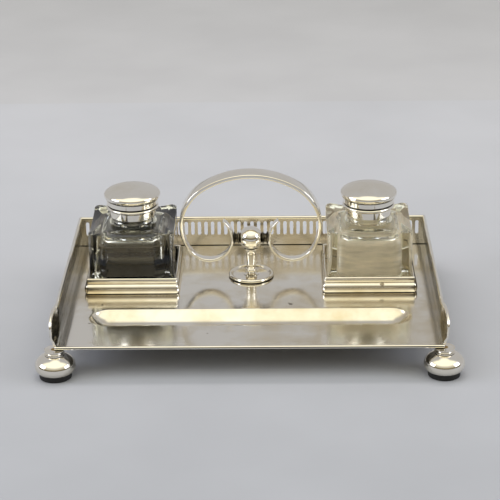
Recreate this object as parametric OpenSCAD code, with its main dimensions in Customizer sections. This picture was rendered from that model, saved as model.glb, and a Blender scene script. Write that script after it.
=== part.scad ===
// Desk inkstand: a pierced-gallery tray on four bun feet, with two square glass
// inkwells in soldered holders, a pressed pen trough and a scrolled carrying handle.
// Origin: on the ground under the middle of the tray. +X right, +Y back, +Z up.

/* [Tray] */
// Width over the outer faces of the side galleries
tray_w = 230; // [226:1:290]
// Depth from the front edge to the outer face of the back gallery
tray_d = 160; // [150:1:200]
// Thickness of the tray plate
plate_t = 1.2; // [1:0.1:1.6]
// Diameter of the round wire along the front edge
edge_wire_d = 2.2; // [1.8:0.1:3]

/* [Pen trough] */
// Plain tray left beside each end of the trough
trough_margin = 17; // [10:1:40]
// Width of the trough at the tray surface
trough_w = 24; // [18:1:28]
// Depth of the trough below the tray surface
trough_depth = 7; // [5:0.5:9]
// Distance from the front edge to the middle of the trough
trough_from_front = 42; // [36:1:44]

/* [Gallery] */
// Height of the gallery above the tray surface
gallery_h = 20.5; // [18:0.5:26]
// Thickness of the gallery sheet
gallery_t = 1.2; // [1:0.1:1.6]
// Diameter of the wire along the top of the gallery
rail_d = 2.2; // [1.8:0.1:3]
// Plain band below the pierced slots
band_h = 7.5; // [5:0.5:9]
// Plain band between the slots and the top wire
top_band_h = 2.5; // [1.5:0.1:4]
// Width of a slot
slot_w = 2.2; // [1.8:0.1:2.6]
// Slot pitch along the wall
slot_pitch = 4.39; // [3.8:0.01:6]
// Plain length at each end of a wall
slot_margin = 4.2; // [4:0.1:10]
// Length of the flared ear at the front end of a side gallery
ear_l = 18; // [14:1:22]
// How far an ear flares outwards
ear_flare = 2.5; // [1.5:0.1:4]
// Height of an ear's tip
ear_tip_h = 10.5; // [8:0.5:14]
// Height of the straight strip below an ear
ear_strip_h = 5; // [3:0.5:7]

/* [Feet] */
// Diameter of a bun foot
foot_d = 24.4; // [20:0.2:30]
// Height of the full oval that a bun foot is turned to
foot_oval_h = 15.4; // [13:0.2:20]
// How far a foot rolls in from its widest line to the flat under it
foot_roll = 2; // [1:0.1:3]
// Metal left round the pad on that flat
pad_margin = 0.6; // [0.4:0.1:2]
// How far the pad stands out below the foot
pad_proj = 3.6; // [2:0.1:4]
// How deep the pad is let into the foot
pad_recess = 1; // [0.6:0.1:1.5]
// Height of the collar between foot and tray
foot_collar_h = 3; // [1.5:0.1:4]
// Diameter of that collar
foot_collar_d = 12; // [10:0.5:14]
// Diameter of the screw that holds a foot
foot_screw_d = 4; // [3:0.5:5]
// How far the back feet stand in from the sides of the tray
back_foot_inset = 6; // [0:0.5:12]

/* [Glass wells] */
// Width of a square glass well
glass_w = 53; // [46:0.5:56]
// Height of the square body of a well
glass_body_h = 39.2; // [32:0.2:46]
// Height of the neck that shows below the collar
neck_show = 3.6; // [3.4:0.2:7]
// Radius of the hollow curve between the flat top and the neck
neck_cove = 3; // [2:0.2:3.4]
// How far the hollow cut along each top edge reaches in over the top
edge_cut_run = 6.5; // [4:0.1:8]
// How far that cut reaches down the face
edge_cut_drop = 2.4; // [2:0.1:5]
// Chamfer on the upright corners
corner_cut = 3.4; // [2:0.2:6]
// Thickness of the glass below the ink
glass_floor_t = 7.5; // [5:0.5:10]
// Thickness of the glass above the ink space
glass_roof_t = 6; // [4.5:0.5:8]
// Width of the square ink space
ink_w = 41; // [34:0.5:43]
// Rounding of the ink space's upright corners
ink_corner_r = 5; // [3:0.5:8]
// Diameter of the mouth through the neck
mouth_d = 21; // [16:0.5:26]
// Wall of the glass neck
neck_wall = 2.5; // [1.5:0.1:3.5]
// Thickness of the dried ink on the floor of the left well
ink_t = 2; // [1:0.2:4]
// Height of the dried film on the wall of the left well
ink_film_h = 22; // [10:1:24]
// Thickness of that film
ink_film_t = 0.3; // [0.2:0.1:0.6]

/* [Holders] */
// Gap between the glass and its holder
holder_fit = 0.5; // [0.3:0.1:1]
// Thickness of the holder wall
holder_t = 1.6; // [1.4:0.1:3]
// Height of a holder
holder_h = 10; // [8:0.5:14]
// How far the base moulding stands out
moulding = 1.3; // [0.8:0.1:2]
// Height of the base moulding
moulding_h = 7; // [5:0.5:8]
// Distance from the back gallery to the middle of the wells
row_from_back = 53; // [42:1:55]
// Gap between a holder and the side gallery
side_margin = 10.4; // [8:1:20]

/* [Well mounts and lids] */
// Thickness of the plaster between the neck and the metal collar
cement_t = 0.7; // [0.5:0.1:1.2]
// Wall of the metal collar
collar_t = 0.9; // [0.7:0.1:1.2]
// Height of the plain part of the collar
collar_h = 4.8; // [3.5:0.1:6]
// Diameter of the bead over the collar
collar_bead_d = 2.2; // [1.8:0.1:3]
// How far the bead stands out of the collar
bead_stand_out = 1.9; // [1.2:0.1:2.2]
// Height of the collar's lip inside the lid
lip_h = 3; // [2:0.2:4]
// Radial gap between the collar's lip and the lid's skirt
lip_play = 0.5; // [0.4:0.1:0.8]
// Wall of the lid's skirt
skirt_t = 1.1; // [0.8:0.1:1.6]
// Height of the lid's skirt
skirt_h = 3.7; // [3.2:0.1:6]
// How far the domed lid stands out past its skirt
dome_over = 1.6; // [1.2:0.1:2.6]
// Height of the dome
dome_h = 7.2; // [6.4:0.2:12]
// Height of the dome's widest line above its underside
belly_h = 2.3; // [1.5:0.1:3]
// How far the dome pulls in below its widest line
dome_undercut = 1.5; // [0.5:0.1:1.6]
// Gap between skirt and collar bead
lid_gap = 0.8; // [0.4:0.1:1.2]
// Diameter of the hinge pin
pin_d = 1.4; // [1.2:0.1:1.8]
// Radial clearance of the hinge pin in the lid's knuckle
pin_clear = 0.05; // [0.02:0.01:0.08]
// Wall of a hinge knuckle
knuckle_wall = 0.9; // [0.8:0.1:1.2]
// Length of the lid's knuckle
knuckle_l = 5; // [4:0.5:7]

/* [Handle] */
// Gap between the handle and the glass wells
handle_gap = 2.9; // [2:0.1:8]
// Width of the handle band over the arch
band_w = 13; // [10:0.5:16]
// Width of the handle band in the scrolls
scroll_w = 6.4; // [5:0.2:8]
// Thickness of the handle band
band_t = 2.6; // [2:0.1:3]
// Radius of the band's side bends
side_r = 29.8; // [26:0.2:32]
// Diameter of the ball between the scrolls
ball_d = 15.2; // [13:0.2:18]
// Clear height between the scrolls and the tray
scroll_clear = 10.5; // [6:0.5:16]
// Diameter of the post
post_d = 7.4; // [6:0.2:9]
// Length of each boss between ball and scroll
boss_l = 3.4; // [3:0.1:6]
// Diameter of a boss
boss_d = 8; // [6:0.2:9]
// Diameter of the handle's base disc
base_d = 29; // [24:0.5:32]

/* [Hidden] */
$fn = 64;
cut = 0.5;                                  // how far a cutting solid passes a face

silver = [0.80, 0.79, 0.75];
bright_silver = [0.86, 0.85, 0.81];
clear_glass = [0.85, 0.88, 0.84, 0.4];
brass = [0.72, 0.66, 0.5];

// Foot, from its widest line inwards
foot_flat_d = foot_d - 2 * foot_roll;
pad_d = foot_flat_d - 2 * pad_margin;

// Levels, from the ground up
foot_seat_r = foot_collar_d / 2 - 1;        // flat on top of the foot, hidden under its collar
foot_low = foot_oval_h / 2 * sin(acos(foot_flat_d / foot_d));
foot_high = foot_oval_h / 2 * sin(acos(2 * foot_seat_r / foot_d));
foot_mid = pad_proj + foot_low;
foot_top = foot_mid + foot_high;
pad_t = pad_proj + pad_recess;
plate_bottom = foot_top + foot_collar_h;
floor_z = plate_bottom + plate_t;
gallery_top = floor_z + gallery_h;
body_top = floor_z + glass_body_h;
collar_z = body_top + neck_show;
bead_z = collar_z + collar_h + collar_bead_d / 2;
collar_top = bead_z + collar_bead_d / 2;
skirt_z = collar_top + lid_gap;
dome_z = skirt_z + skirt_h;

foot_web = 2;                               // metal left between the pad and the screw

neck_h = neck_show + collar_h + lip_h - 1;  // the neck stops a little below the collar's rim

// Radii from the mouth outwards
neck_r = mouth_d / 2 + neck_wall;
collar_inner_r = neck_r + cement_t;
collar_r = collar_inner_r + collar_t;
skirt_inner_r = collar_r + lip_play;
skirt_r = skirt_inner_r + skirt_t;
dome_r = skirt_r + dome_over;

// Places in plan
corner_x = tray_w / 2;
corner_y = tray_d / 2;
back_foot_x = corner_x - back_foot_inset;
row_y = corner_y - row_from_back;
holder_w = glass_w + 2 * holder_fit + 2 * holder_t;
holder_over = holder_w + 2 * moulding;
well_x = corner_x - side_margin - holder_over / 2;
trough_y = trough_from_front - corner_y;
wall_h = gallery_h - rail_d / 2;            // gallery sheet, up to the middle of its top wire
slot_h = wall_h - band_h - top_band_h;

// Pen trough: a round-bottomed channel with round ends
trough_r = (pow(trough_w / 2, 2) + pow(trough_depth, 2)) / (2 * trough_depth);
trough_axis_z = floor_z + trough_r - trough_depth;
trough_end_x = tray_w / 2 - trough_margin - trough_w / 2;

// Handle centreline: a flat top arc, two side arcs and two scrolls, all tangent
side_turn = 32;                             // where the top arc meets a side arc
scroll_turn = 128;                          // where a side arc meets its scroll
scroll_tip = 322;                           // where a scroll ends
half_handle = well_x - glass_w / 2 - handle_gap - band_t / 2;
scroll_inner_x = ball_d / 2 + boss_l + band_t / 2;
scroll_r = (half_handle - scroll_inner_x - side_r * (1 - sin(scroll_turn)))
    / (1 + sin(scroll_turn));
side_x = half_handle - side_r;
scroll_x = side_x + (side_r - scroll_r) * sin(scroll_turn);
scroll_z = floor_z + scroll_clear + band_t / 2 + scroll_r;   // the ball sits at the same height
side_z = scroll_z - (side_r - scroll_r) * cos(scroll_turn);
top_r = side_r + side_x / sin(side_turn);
top_z = side_z - (top_r - side_r) * cos(side_turn);

// The post ends in a round socket in the ball
post_top = scroll_z - sqrt(pow(ball_d / 2, 2) - pow(post_d / 2, 2));

// Lid hinge, behind each well
knuckle_gap = 0.3;                          // between neighbouring knuckles
hinge_gap = 0.6;                            // between the bead and a knuckle
knuckle_r = pin_d / 2 + knuckle_wall;
bead_r = collar_r + bead_stand_out - collar_bead_d / 2;
hinge_y = collar_r + bead_stand_out + knuckle_r + hinge_gap;
hinge_z = collar_top + lid_gap / 2;
outer_knuckle_l = 2.6;
pin_l = knuckle_l + 2 * knuckle_gap + 2 * outer_knuckle_l;

// Collar and lid, round the glass neck
cement_drop = 0.6;                          // how far the plaster stops short of the collar's top
leaf_t = 1.4;                               // hinge leaf on the collar
lid_leaf_t = 1.1;                           // hinge leaf on the lid

// Base of the handle
base_disc_t = 1.4;
base_rim_d = 2.4;
post_bead_d = 1.6;
post_bead_rise = 2.4;                       // height of the post's bead above the base disc
post_bead_sink = 0.3;

// Fastening under the handle
stud_d = 4;
stud_reach = 8;                             // how far the stud runs up into the post
stud_tail = 1;                              // how far it runs past the nut
washer_d = 11;
washer_t = 1;
nut_across = 8;
nut_h = 3;

// ---------- shared shapes ----------

// A ring between two radii, standing on the level z
module ring(r_out, r_in, h, z = 0) {
    translate([0, 0, z])
        difference() {
            cylinder(r = r_out, h = h);
            translate([0, 0, -cut]) cylinder(r = r_in, h = h + 2 * cut);
        }
}

// A round wire bent to a circle
module bead(r, d, z = 0) {
    translate([0, 0, z]) rotate_extrude() translate([r, 0]) circle(d = d, $fn = 32);
}

// A turned oval, cut flat below and above: half width a, half height b
module spun_oval(a, b, flat_r_low, flat_r_high) {
    steps = 20;
    low = -acos(flat_r_low / a);
    high = acos(flat_r_high / a);
    arc = [for (i = [0:steps]) let (t = low + (high - low) * i / steps) [a * cos(t), b * sin(t)]];
    rotate_extrude() polygon(concat([[0, arc[0][1]]], arc, [[0, arc[steps][1]]]));
}

module at_feet() {
    for (side = [-1, 1]) {
        translate([side * corner_x, -corner_y, 0]) children();
        translate([side * back_foot_x, corner_y, 0]) children();
    }
}

module at_well(side) {
    translate([side * well_x, row_y, 0]) children();
}

// ---------- tray ----------

// The trough's inner or outer surface, as a bar with ball ends
module trough_bar(r) {
    translate([-trough_end_x, trough_y, trough_axis_z]) rotate([0, 90, 0])
        cylinder(r = r, h = 2 * trough_end_x);
    for (x = [-trough_end_x, trough_end_x]) translate([x, trough_y, trough_axis_z]) sphere(r = r);
}

module tray_plate() {
    color(silver)
        difference() {
            union() {
                translate([-corner_x, -corner_y, plate_bottom]) cube([tray_w, tray_d, plate_t]);
                intersection() {
                    trough_bar(trough_r + plate_t);
                    translate([-corner_x, -corner_y, 0]) cube([tray_w, tray_d, plate_bottom]);
                }
            }
            trough_bar(trough_r);
            translate([0, row_y, plate_bottom - cut]) cylinder(d = stud_d, h = plate_t + 2 * cut);
        }
}

module front_edge_wire() {
    color(bright_silver)
        translate([-corner_x, -corner_y - edge_wire_d / 2, plate_bottom + edge_wire_d / 2])
            rotate([0, 90, 0]) cylinder(d = edge_wire_d, h = tray_w, $fn = 32);
}

// ---------- gallery ----------

module slot() {
    translate([0, slot_w / 2]) circle(d = slot_w, $fn = 24);
    translate([0, slot_h - slot_w / 2]) circle(d = slot_w, $fn = 24);
    translate([-slot_w / 2, slot_w / 2]) square([slot_w, slot_h - slot_w]);
}

// Slots spread evenly over the length from u0 to u1
module slot_row(u0, u1) {
    count = floor((u1 - u0 - 2 * slot_margin) / slot_pitch);
    start = (u0 + u1 - count * slot_pitch) / 2;
    for (i = [0:count]) translate([start + i * slot_pitch, band_h]) slot();
}

module back_gallery() {
    color(silver)
        translate([0, corner_y, floor_z]) rotate([90, 0, 0]) linear_extrude(gallery_t)
            difference() {
                translate([-corner_x, 0]) square([tray_w, wall_h]);
                slot_row(-corner_x, corner_x);
            }
}

// Outline of a side gallery behind its ear, with u running back from the front edge
module side_outline() {
    wall_l = tray_d - gallery_t;
    difference() {
        union() {
            square([wall_l, ear_strip_h]);
            translate([ear_l, 0]) square([wall_l - ear_l, wall_h]);
        }
        slot_row(ear_l, wall_l);
    }
}

// Outline of an ear seen from the side: the top edge sweeps down to the tip
module ear_outline() {
    drop = wall_h - ear_tip_h;
    steps = 12;
    sweep = [for (i = [0:steps]) let (a = 90 * i / steps) [ear_l * (1 - cos(a)), ear_tip_h + drop * sin(a)]];
    polygon(concat([[0, ear_strip_h]], sweep, [[ear_l + cut, wall_h], [ear_l + cut, ear_strip_h]]));
}

// The ear leaves the wall at an angle and curves back, so that its tip runs straight forwards
module ear() {
    bend_r = (ear_l * ear_l + ear_flare * ear_flare) / (2 * ear_flare);
    intersection() {
        translate([corner_x + ear_flare - bend_r, -corner_y, 0])
            ring(bend_r, bend_r - gallery_t, gallery_top, $fn = 180);
        translate([corner_x - gallery_t - cut, -corner_y, floor_z]) rotate([90, 0, 90])
            linear_extrude(ear_flare + gallery_t + 2 * cut) ear_outline();
    }
}

module side_gallery(side) {
    color(silver)
        mirror([side < 0 ? 1 : 0, 0, 0]) {
            translate([corner_x - gallery_t, -corner_y, floor_z]) rotate([90, 0, 90])
                linear_extrude(gallery_t) side_outline();
            ear();
        }
}

module back_rail() {
    color(bright_silver)
        translate([-corner_x, corner_y - gallery_t / 2, gallery_top - rail_d / 2])
            rotate([0, 90, 0]) cylinder(d = rail_d, h = tray_w, $fn = 32);
}

module side_rail(side) {
    color(bright_silver)
        translate([side * (corner_x - gallery_t / 2), -corner_y + ear_l, gallery_top - rail_d / 2])
            rotate([-90, 0, 0])
                cylinder(d = rail_d, h = tray_d - ear_l - gallery_t / 2 - rail_d / 2, $fn = 32);
}

// ---------- feet ----------

module foot(x, y) {
    color(bright_silver)
        translate([x, y, 0])
            difference() {
                translate([0, 0, foot_mid])
                    spun_oval(foot_d / 2, foot_oval_h / 2, foot_flat_d / 2, foot_seat_r);
                cylinder(d = pad_d, h = pad_t);
                translate([0, 0, pad_t + foot_web]) cylinder(d = foot_screw_d, h = foot_top);
            }
}

module foot_pad(x, y) {
    color([0.06, 0.06, 0.06])
        translate([x, y, 0]) cylinder(d = pad_d, h = pad_t);
}

module foot_collars() {
    color(silver)
        at_feet() ring(foot_collar_d / 2, foot_screw_d / 2, foot_collar_h, foot_top);
}

module foot_screws() {
    color(brass)
        at_feet() translate([0, 0, pad_t + foot_web])
            cylinder(d = foot_screw_d, h = plate_bottom - pad_t - foot_web);
}

// ---------- holders ----------

module square_frame(outer, inner, h) {
    difference() {
        translate([-outer / 2, -outer / 2, 0]) cube([outer, outer, h]);
        translate([-inner / 2, -inner / 2, -cut]) cube([inner, inner, h + 2 * cut]);
    }
}

// A square frame with a rounded base moulding, a groove and a plain upper band
module holder(side) {
    inner = glass_w + 2 * holder_fit;
    bulge = moulding;
    mid = moulding_h / 2;
    // the moulding is the part of a large round bar that stands out of the wall
    bar_r = (mid * mid + bulge * bulge) / (2 * bulge);
    color(silver)
        at_well(side) translate([0, 0, floor_z])
            difference() {
                union() {
                    square_frame(holder_w, inner, holder_h);
                    for (a = [0:90:270]) rotate([0, 0, a]) moulding_bar(bar_r, mid);
                }
                translate([-inner / 2, -inner / 2, -cut]) cube([inner, inner, holder_h + 2 * cut]);
            }
}

// One side of the base moulding, mitred at its ends
module moulding_bar(bar_r, mid) {
    reach = holder_w / 2 + moulding;
    intersection() {
        translate([holder_w / 2 + moulding - bar_r, -reach, mid]) rotate([-90, 0, 0])
            cylinder(r = bar_r, h = 2 * reach);
        linear_extrude(moulding_h)
            polygon([[holder_w / 2 - holder_t, holder_w / 2 - holder_t], [reach, reach],
                [reach, -reach], [holder_w / 2 - holder_t, -(holder_w / 2 - holder_t)]]);
    }
}

// ---------- handle ----------

// A disc with a bead round its rim
module handle_base() {
    rim_r = base_d / 2 - base_rim_d / 2;
    color(silver)
        translate([0, row_y, 0]) {
            ring(rim_r, stud_d / 2, base_disc_t, floor_z);
            bead(rim_r, base_rim_d, floor_z + base_rim_d / 2);
        }
}

module handle_post() {
    foot_z = floor_z + base_disc_t;
    color(silver)
        translate([0, row_y, 0])
            difference() {
                union() {
                    translate([0, 0, foot_z]) cylinder(d = post_d, h = post_top - foot_z);
                    bead(post_d / 2 - post_bead_sink, post_bead_d, foot_z + post_bead_rise);
                }
                translate([0, 0, foot_z - cut]) cylinder(d = stud_d, h = stud_reach + cut);
            }
}

module handle_ball() {
    color(bright_silver)
        translate([0, row_y, 0])
            difference() {
                translate([0, 0, scroll_z]) sphere(d = ball_d);
                cylinder(d = post_d, h = post_top);
            }
}

// A waisted spool that joins the ball to a scroll
module boss(side) {
    waist = 1.2;
    steps = 12;
    profile = [for (i = [0:steps]) [boss_d / 2 - waist * sin(180 * i / steps), boss_l * i / steps]];
    overlap = ball_d / 2 - sqrt(pow(ball_d / 2, 2) - pow(boss_d / 2, 2));
    color([0.25, 0.24, 0.22])
        translate([0, row_y, scroll_z]) rotate([0, 90 * side, 0])
            difference() {
                translate([0, 0, ball_d / 2 - overlap]) union() {
                    cylinder(d = boss_d, h = overlap);
                    translate([0, 0, overlap]) rotate_extrude()
                        polygon(concat([[0, 0]], profile, [[0, boss_l]]));
                }
                sphere(d = ball_d);
            }
}

// Points at the distance off from the centreline of the right half, from the top to the scroll tip.
// Angles run from straight up, clockwise.
function arc_points(x, z, r, a0, a1, step) =
    [for (a = [a0:step:a1]) [x + r * sin(a), z + r * cos(a)]];
function half_line(off) = concat(
    arc_points(0, top_z, top_r + off, 0, side_turn - 4, 4),
    arc_points(side_x, side_z, side_r + off, side_turn, scroll_turn - 4, 4),
    arc_points(scroll_x, scroll_z, scroll_r + off, scroll_turn, scroll_tip, (scroll_tip - scroll_turn) / 40));
function flip(points) = [for (i = [len(points) - 1:-1:1]) [-points[i][0], points[i][1]]];

module band_outline() {
    outer = half_line(band_t / 2);
    inner = half_line(-band_t / 2);
    back = [for (i = [len(inner) - 1:-1:0]) inner[i]];
    left_back = [for (i = [1:len(inner) - 1]) [-inner[i][0], inner[i][1]]];
    polygon(concat(flip(outer), outer, back, left_back));
}

// The band is wide over the arch and narrows down its sides to the scrolls
module handle_band() {
    taper_top = side_z + side_r / 2;
    taper_low = side_z + side_r * cos(scroll_turn);
    spare = band_w;
    color(bright_silver)
        difference() {
            translate([0, row_y + band_w / 2, 0]) rotate([90, 0, 0]) linear_extrude(band_w) band_outline();
            for (s = [-1, 1]) translate([-corner_x, row_y, 0]) mirror([0, s > 0 ? 0 : 1, 0])
                rotate([90, 0, 90]) linear_extrude(tray_w)
                    polygon([[scroll_w / 2, 0], [scroll_w / 2, taper_low], [band_w / 2, taper_top],
                        [band_w / 2 + spare, taper_top], [band_w / 2 + spare, 0]]);
            for (s = [-1, 1]) translate([-scroll_x, row_y + s * (scroll_w + spare) / 2 - spare / 2, 0])
                cube([2 * scroll_x, spare, taper_top]);
        }
}

module handle_stud() {
    stud_low = plate_bottom - washer_t - nut_h - stud_tail;
    stud_high = floor_z + base_disc_t + stud_reach;
    color(brass)
        translate([0, row_y, stud_low]) cylinder(d = stud_d, h = stud_high - stud_low);
}

module handle_washer() {
    color(brass)
        translate([0, row_y, 0]) ring(washer_d / 2, stud_d / 2, washer_t, plate_bottom - washer_t);
}

module handle_nut() {
    nut_z = plate_bottom - washer_t - nut_h;
    color(brass)
        translate([0, row_y, nut_z])
            difference() {
                cylinder(d = nut_across / cos(30), h = nut_h, $fn = 6);
                translate([0, 0, -cut]) cylinder(d = stud_d, h = nut_h + 2 * cut);
            }
}

// ---------- glass wells ----------

module chamfered_square(w, c) {
    h = w / 2;
    k = h - c;
    polygon([[k, -h], [h, -k], [h, k], [k, h], [-k, h], [-h, k], [-h, -k], [-k, -h]]);
}

// A square bar with rounded upright corners
module rounded_bar(w, r, h) {
    k = w / 2 - r;
    linear_extrude(h) {
        square([w, 2 * k], center = true);
        square([2 * k, w], center = true);
        for (x = [-k, k], y = [-k, k]) translate([x, y]) circle(r = r, $fn = 32);
    }
}

// A large wheel cuts a hollow along one top edge, deepest in the middle of the side
module edge_cut() {
    slope = atan(edge_cut_drop / edge_cut_run);
    depth = edge_cut_run * sin(slope);
    half_l = glass_w / 2 - corner_cut;
    wheel_r = (half_l * half_l + depth * depth) / (2 * depth);
    translate([0, -glass_w / 2, body_top]) rotate([slope, 0, 0])
        translate([0, -glass_w / 2, wheel_r - depth]) rotate([-90, 0, 0])
            cylinder(r = wheel_r, h = glass_w, $fn = 180);
}

// Neck profile with a hollow curve at its foot
module glass_neck() {
    steps = 8;
    cove = [for (i = [0:steps]) let (a = 90 * i / steps)
        [neck_r + neck_cove * (1 - sin(a)), neck_cove * (1 - cos(a))]];
    translate([0, 0, body_top]) rotate_extrude()
        polygon(concat([[0, -cut], [neck_r + neck_cove, -cut]], cove, [[neck_r, neck_h], [0, neck_h]]));
}

module glass(side) {
    cavity_h = glass_body_h - glass_floor_t - glass_roof_t;
    color(clear_glass)
        at_well(side)
            difference() {
                union() {
                    difference() {
                        translate([0, 0, floor_z]) linear_extrude(glass_body_h)
                            chamfered_square(glass_w, corner_cut);
                        for (a = [0:90:270]) rotate([0, 0, a]) edge_cut();
                    }
                    glass_neck();
                }
                translate([0, 0, floor_z + glass_floor_t]) rounded_bar(ink_w, ink_corner_r, cavity_h);
                translate([0, 0, floor_z + glass_floor_t]) cylinder(d = mouth_d, h = glass_body_h + neck_h);
            }
}

// Plaster that beds the collar on the glass neck
module cement(side) {
    color([0.85, 0.82, 0.74])
        at_well(side)
            ring(collar_inner_r, neck_r, collar_h - cement_drop, collar_z);
}

module hinge_knuckle(from_x, l, bore) {
    translate([from_x, hinge_y, hinge_z]) rotate([0, 90, 0])
        difference() {
            cylinder(r = knuckle_r, h = l, $fn = 32);
            translate([0, 0, -cut]) cylinder(r = bore, h = l + 2 * cut, $fn = 32);
        }
}

// A leaf from a knuckle to the ring in front of it, clear of the pin's bore
module hinge_leaf(from_x, l, ring_r, z0, z1) {
    difference() {
        translate([from_x, 0, z0]) cube([l, hinge_y, z1 - z0]);
        translate([0, 0, z0 - cut]) cylinder(r = ring_r, h = z1 - z0 + 2 * cut);
        translate([from_x - cut, hinge_y, hinge_z]) rotate([0, 90, 0])
            cylinder(r = knuckle_r - knuckle_wall / 2, h = l + 2 * cut, $fn = 32);
    }
}

module collar(side) {
    left_x = -pin_l / 2;
    right_x = pin_l / 2 - outer_knuckle_l;
    color(bright_silver)
        at_well(side) {
            ring(collar_r, collar_inner_r, collar_h + collar_bead_d + lip_h, collar_z);
            bead(bead_r, collar_bead_d, bead_z);
            for (x = [left_x, right_x]) {
                hinge_knuckle(x, outer_knuckle_l, pin_d / 2);
                hinge_leaf(x, outer_knuckle_l, collar_r, bead_z - leaf_t / 2, bead_z + leaf_t / 2);
            }
        }
}

module hinge_pin(side) {
    color(brass)
        at_well(side) translate([-pin_l / 2, hinge_y, hinge_z]) rotate([0, 90, 0])
            cylinder(d = pin_d, h = pin_l, $fn = 32);
}

module lid_skirt(side) {
    color(bright_silver)
        at_well(side) {
            ring(skirt_r, skirt_inner_r, skirt_h, skirt_z);
            hinge_knuckle(-knuckle_l / 2, knuckle_l, pin_d / 2 + pin_clear);
            hinge_leaf(-knuckle_l / 2, knuckle_l, skirt_inner_r, skirt_z, skirt_z + lid_leaf_t);
        }
}

// The dome is a cushion, widest a little above its underside
module lid_dome(side) {
    steps = 16;
    low = [for (i = [0:steps / 2 - 1]) let (a = -90 + 180 * i / steps)
        [dome_r - dome_undercut * (1 - cos(a)), belly_h * (1 + sin(a))]];
    high = [for (i = [0:steps - 1]) let (a = 90 * i / steps)
        [dome_r * cos(a), belly_h + (dome_h - belly_h) * sin(a)]];
    color(bright_silver)
        at_well(side) translate([0, 0, dome_z])
            rotate_extrude() polygon(concat([[0, 0]], low, high, [[0, dome_h]]));
}

// Dried ink: a crust on the floor and a film up the wall
module dried_ink() {
    color([0.05, 0.05, 0.08])
        at_well(-1) translate([0, 0, floor_z + glass_floor_t])
            difference() {
                rounded_bar(ink_w, ink_corner_r, ink_film_h);
                translate([0, 0, ink_t])
                    rounded_bar(ink_w - 2 * ink_film_t, ink_corner_r - ink_film_t, ink_film_h);
            }
}

// ---------- nodes ----------

tray_plate();
front_edge_wire();
back_gallery();
side_gallery(-1);  // left_gallery
side_gallery(1);  // right_gallery
back_rail();
side_rail(-1);  // left_rail
side_rail(1);  // right_rail
foot(-corner_x, -corner_y);  // front_left_foot
foot(corner_x, -corner_y);  // front_right_foot
foot(-back_foot_x, corner_y);  // back_left_foot
foot(back_foot_x, corner_y);  // back_right_foot
foot_pad(-corner_x, -corner_y);  // front_left_pad
foot_pad(corner_x, -corner_y);  // front_right_pad
foot_pad(-back_foot_x, corner_y);  // back_left_pad
foot_pad(back_foot_x, corner_y);  // back_right_pad
foot_collars();
foot_screws();
holder(-1);  // left_holder
holder(1);  // right_holder
handle_base();
handle_post();
handle_ball();
boss(-1);  // left_boss
boss(1);  // right_boss
handle_band();
handle_stud();
handle_washer();
handle_nut();
glass(-1);  // left_glass
glass(1);  // right_glass
cement(-1);  // left_cement
cement(1);  // right_cement
collar(-1);  // left_collar
collar(1);  // right_collar
hinge_pin(-1);  // left_hinge_pin
hinge_pin(1);  // right_hinge_pin
lid_skirt(-1);  // left_lid_skirt
lid_skirt(1);  // right_lid_skirt
lid_dome(-1);  // left_lid_dome
lid_dome(1);  // right_lid_dome
dried_ink();  // left_dried_ink
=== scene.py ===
"""Desk inkstand in silver plate: a galleried tray on bun feet, two glass wells with
domed lids, a pen trough and a scrolled carrying handle. Metres, +X right, +Y back, +Z up."""

from math import acos, asin, atan2, cos, pi, radians, sin, sqrt, tan

import bmesh
import bpy
from bpy.props import FloatProperty, FloatVectorProperty, PointerProperty
from mathutils import Matrix, Vector


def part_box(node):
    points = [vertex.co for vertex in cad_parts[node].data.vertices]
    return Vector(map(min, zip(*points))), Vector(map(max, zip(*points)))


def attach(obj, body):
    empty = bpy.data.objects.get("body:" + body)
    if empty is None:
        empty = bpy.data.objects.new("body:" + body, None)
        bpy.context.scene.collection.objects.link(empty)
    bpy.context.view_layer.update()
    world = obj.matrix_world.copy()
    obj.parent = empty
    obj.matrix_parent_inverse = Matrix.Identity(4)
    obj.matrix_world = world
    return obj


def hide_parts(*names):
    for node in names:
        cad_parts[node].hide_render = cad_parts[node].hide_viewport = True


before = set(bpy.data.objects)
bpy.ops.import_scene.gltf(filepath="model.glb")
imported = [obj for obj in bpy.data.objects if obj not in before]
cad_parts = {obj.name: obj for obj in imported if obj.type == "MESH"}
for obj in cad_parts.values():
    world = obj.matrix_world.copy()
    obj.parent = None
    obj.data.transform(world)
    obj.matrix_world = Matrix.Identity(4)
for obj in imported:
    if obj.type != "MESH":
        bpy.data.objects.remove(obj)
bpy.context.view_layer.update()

bl_info = {
    "name": "Desk Inkstand",
    "version": (1, 0, 0),
    "blender": (4, 5, 0),
    "location": "View3D > Sidebar > Inkstand",
    "description": "Builds a silver-plated desk inkstand round its packed frame",
    "category": "Add Mesh",
}

MM = 0.001
ROUND_STEPS = 96        # steps round a large turned piece
SMALL_STEPS = 32        # steps round a wire or a hinge knuckle


# ---------- places taken from the frame ----------

def middle(node):
    """Middle of a node's box."""
    low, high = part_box(node)
    return (low + high) / 2


def half_width(node, axis=0):
    """Half of a node's width along an axis."""
    low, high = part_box(node)
    return (high[axis] - low[axis]) / 2


TRAY_LOW, TRAY_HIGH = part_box("tray_plate")
FLOOR_Z = TRAY_HIGH.z
PLATE_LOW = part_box("foot_collars")[1].z
PLATE_T = FLOOR_Z - PLATE_LOW
ROW_Y = middle("handle_post").y
RAIL_R = half_width("back_rail", 2)
RAIL_Z = middle("back_rail").z
WALL_T = half_width("back_gallery", 1) * 2
FEET = {name: middle(f"{name}_foot") for name in ("front_left", "front_right", "back_left", "back_right")}
SIDES = {"left": -1, "right": 1}


# ---------- settings ----------

def linear(code):
    """Linear colour from an sRGB hex code."""
    parts = [int(code[i:i + 2], 16) / 255 for i in (0, 2, 4)]
    return tuple(p / 12.92 if p <= 0.04045 else ((p + 0.055) / 1.055) ** 2.4 for p in parts)


def length(name, description, mm):
    """A size property whose default is given in millimetres."""
    return FloatProperty(name=name, description=description, default=mm * MM, min=0, precision=5,
                         unit="LENGTH")


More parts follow.
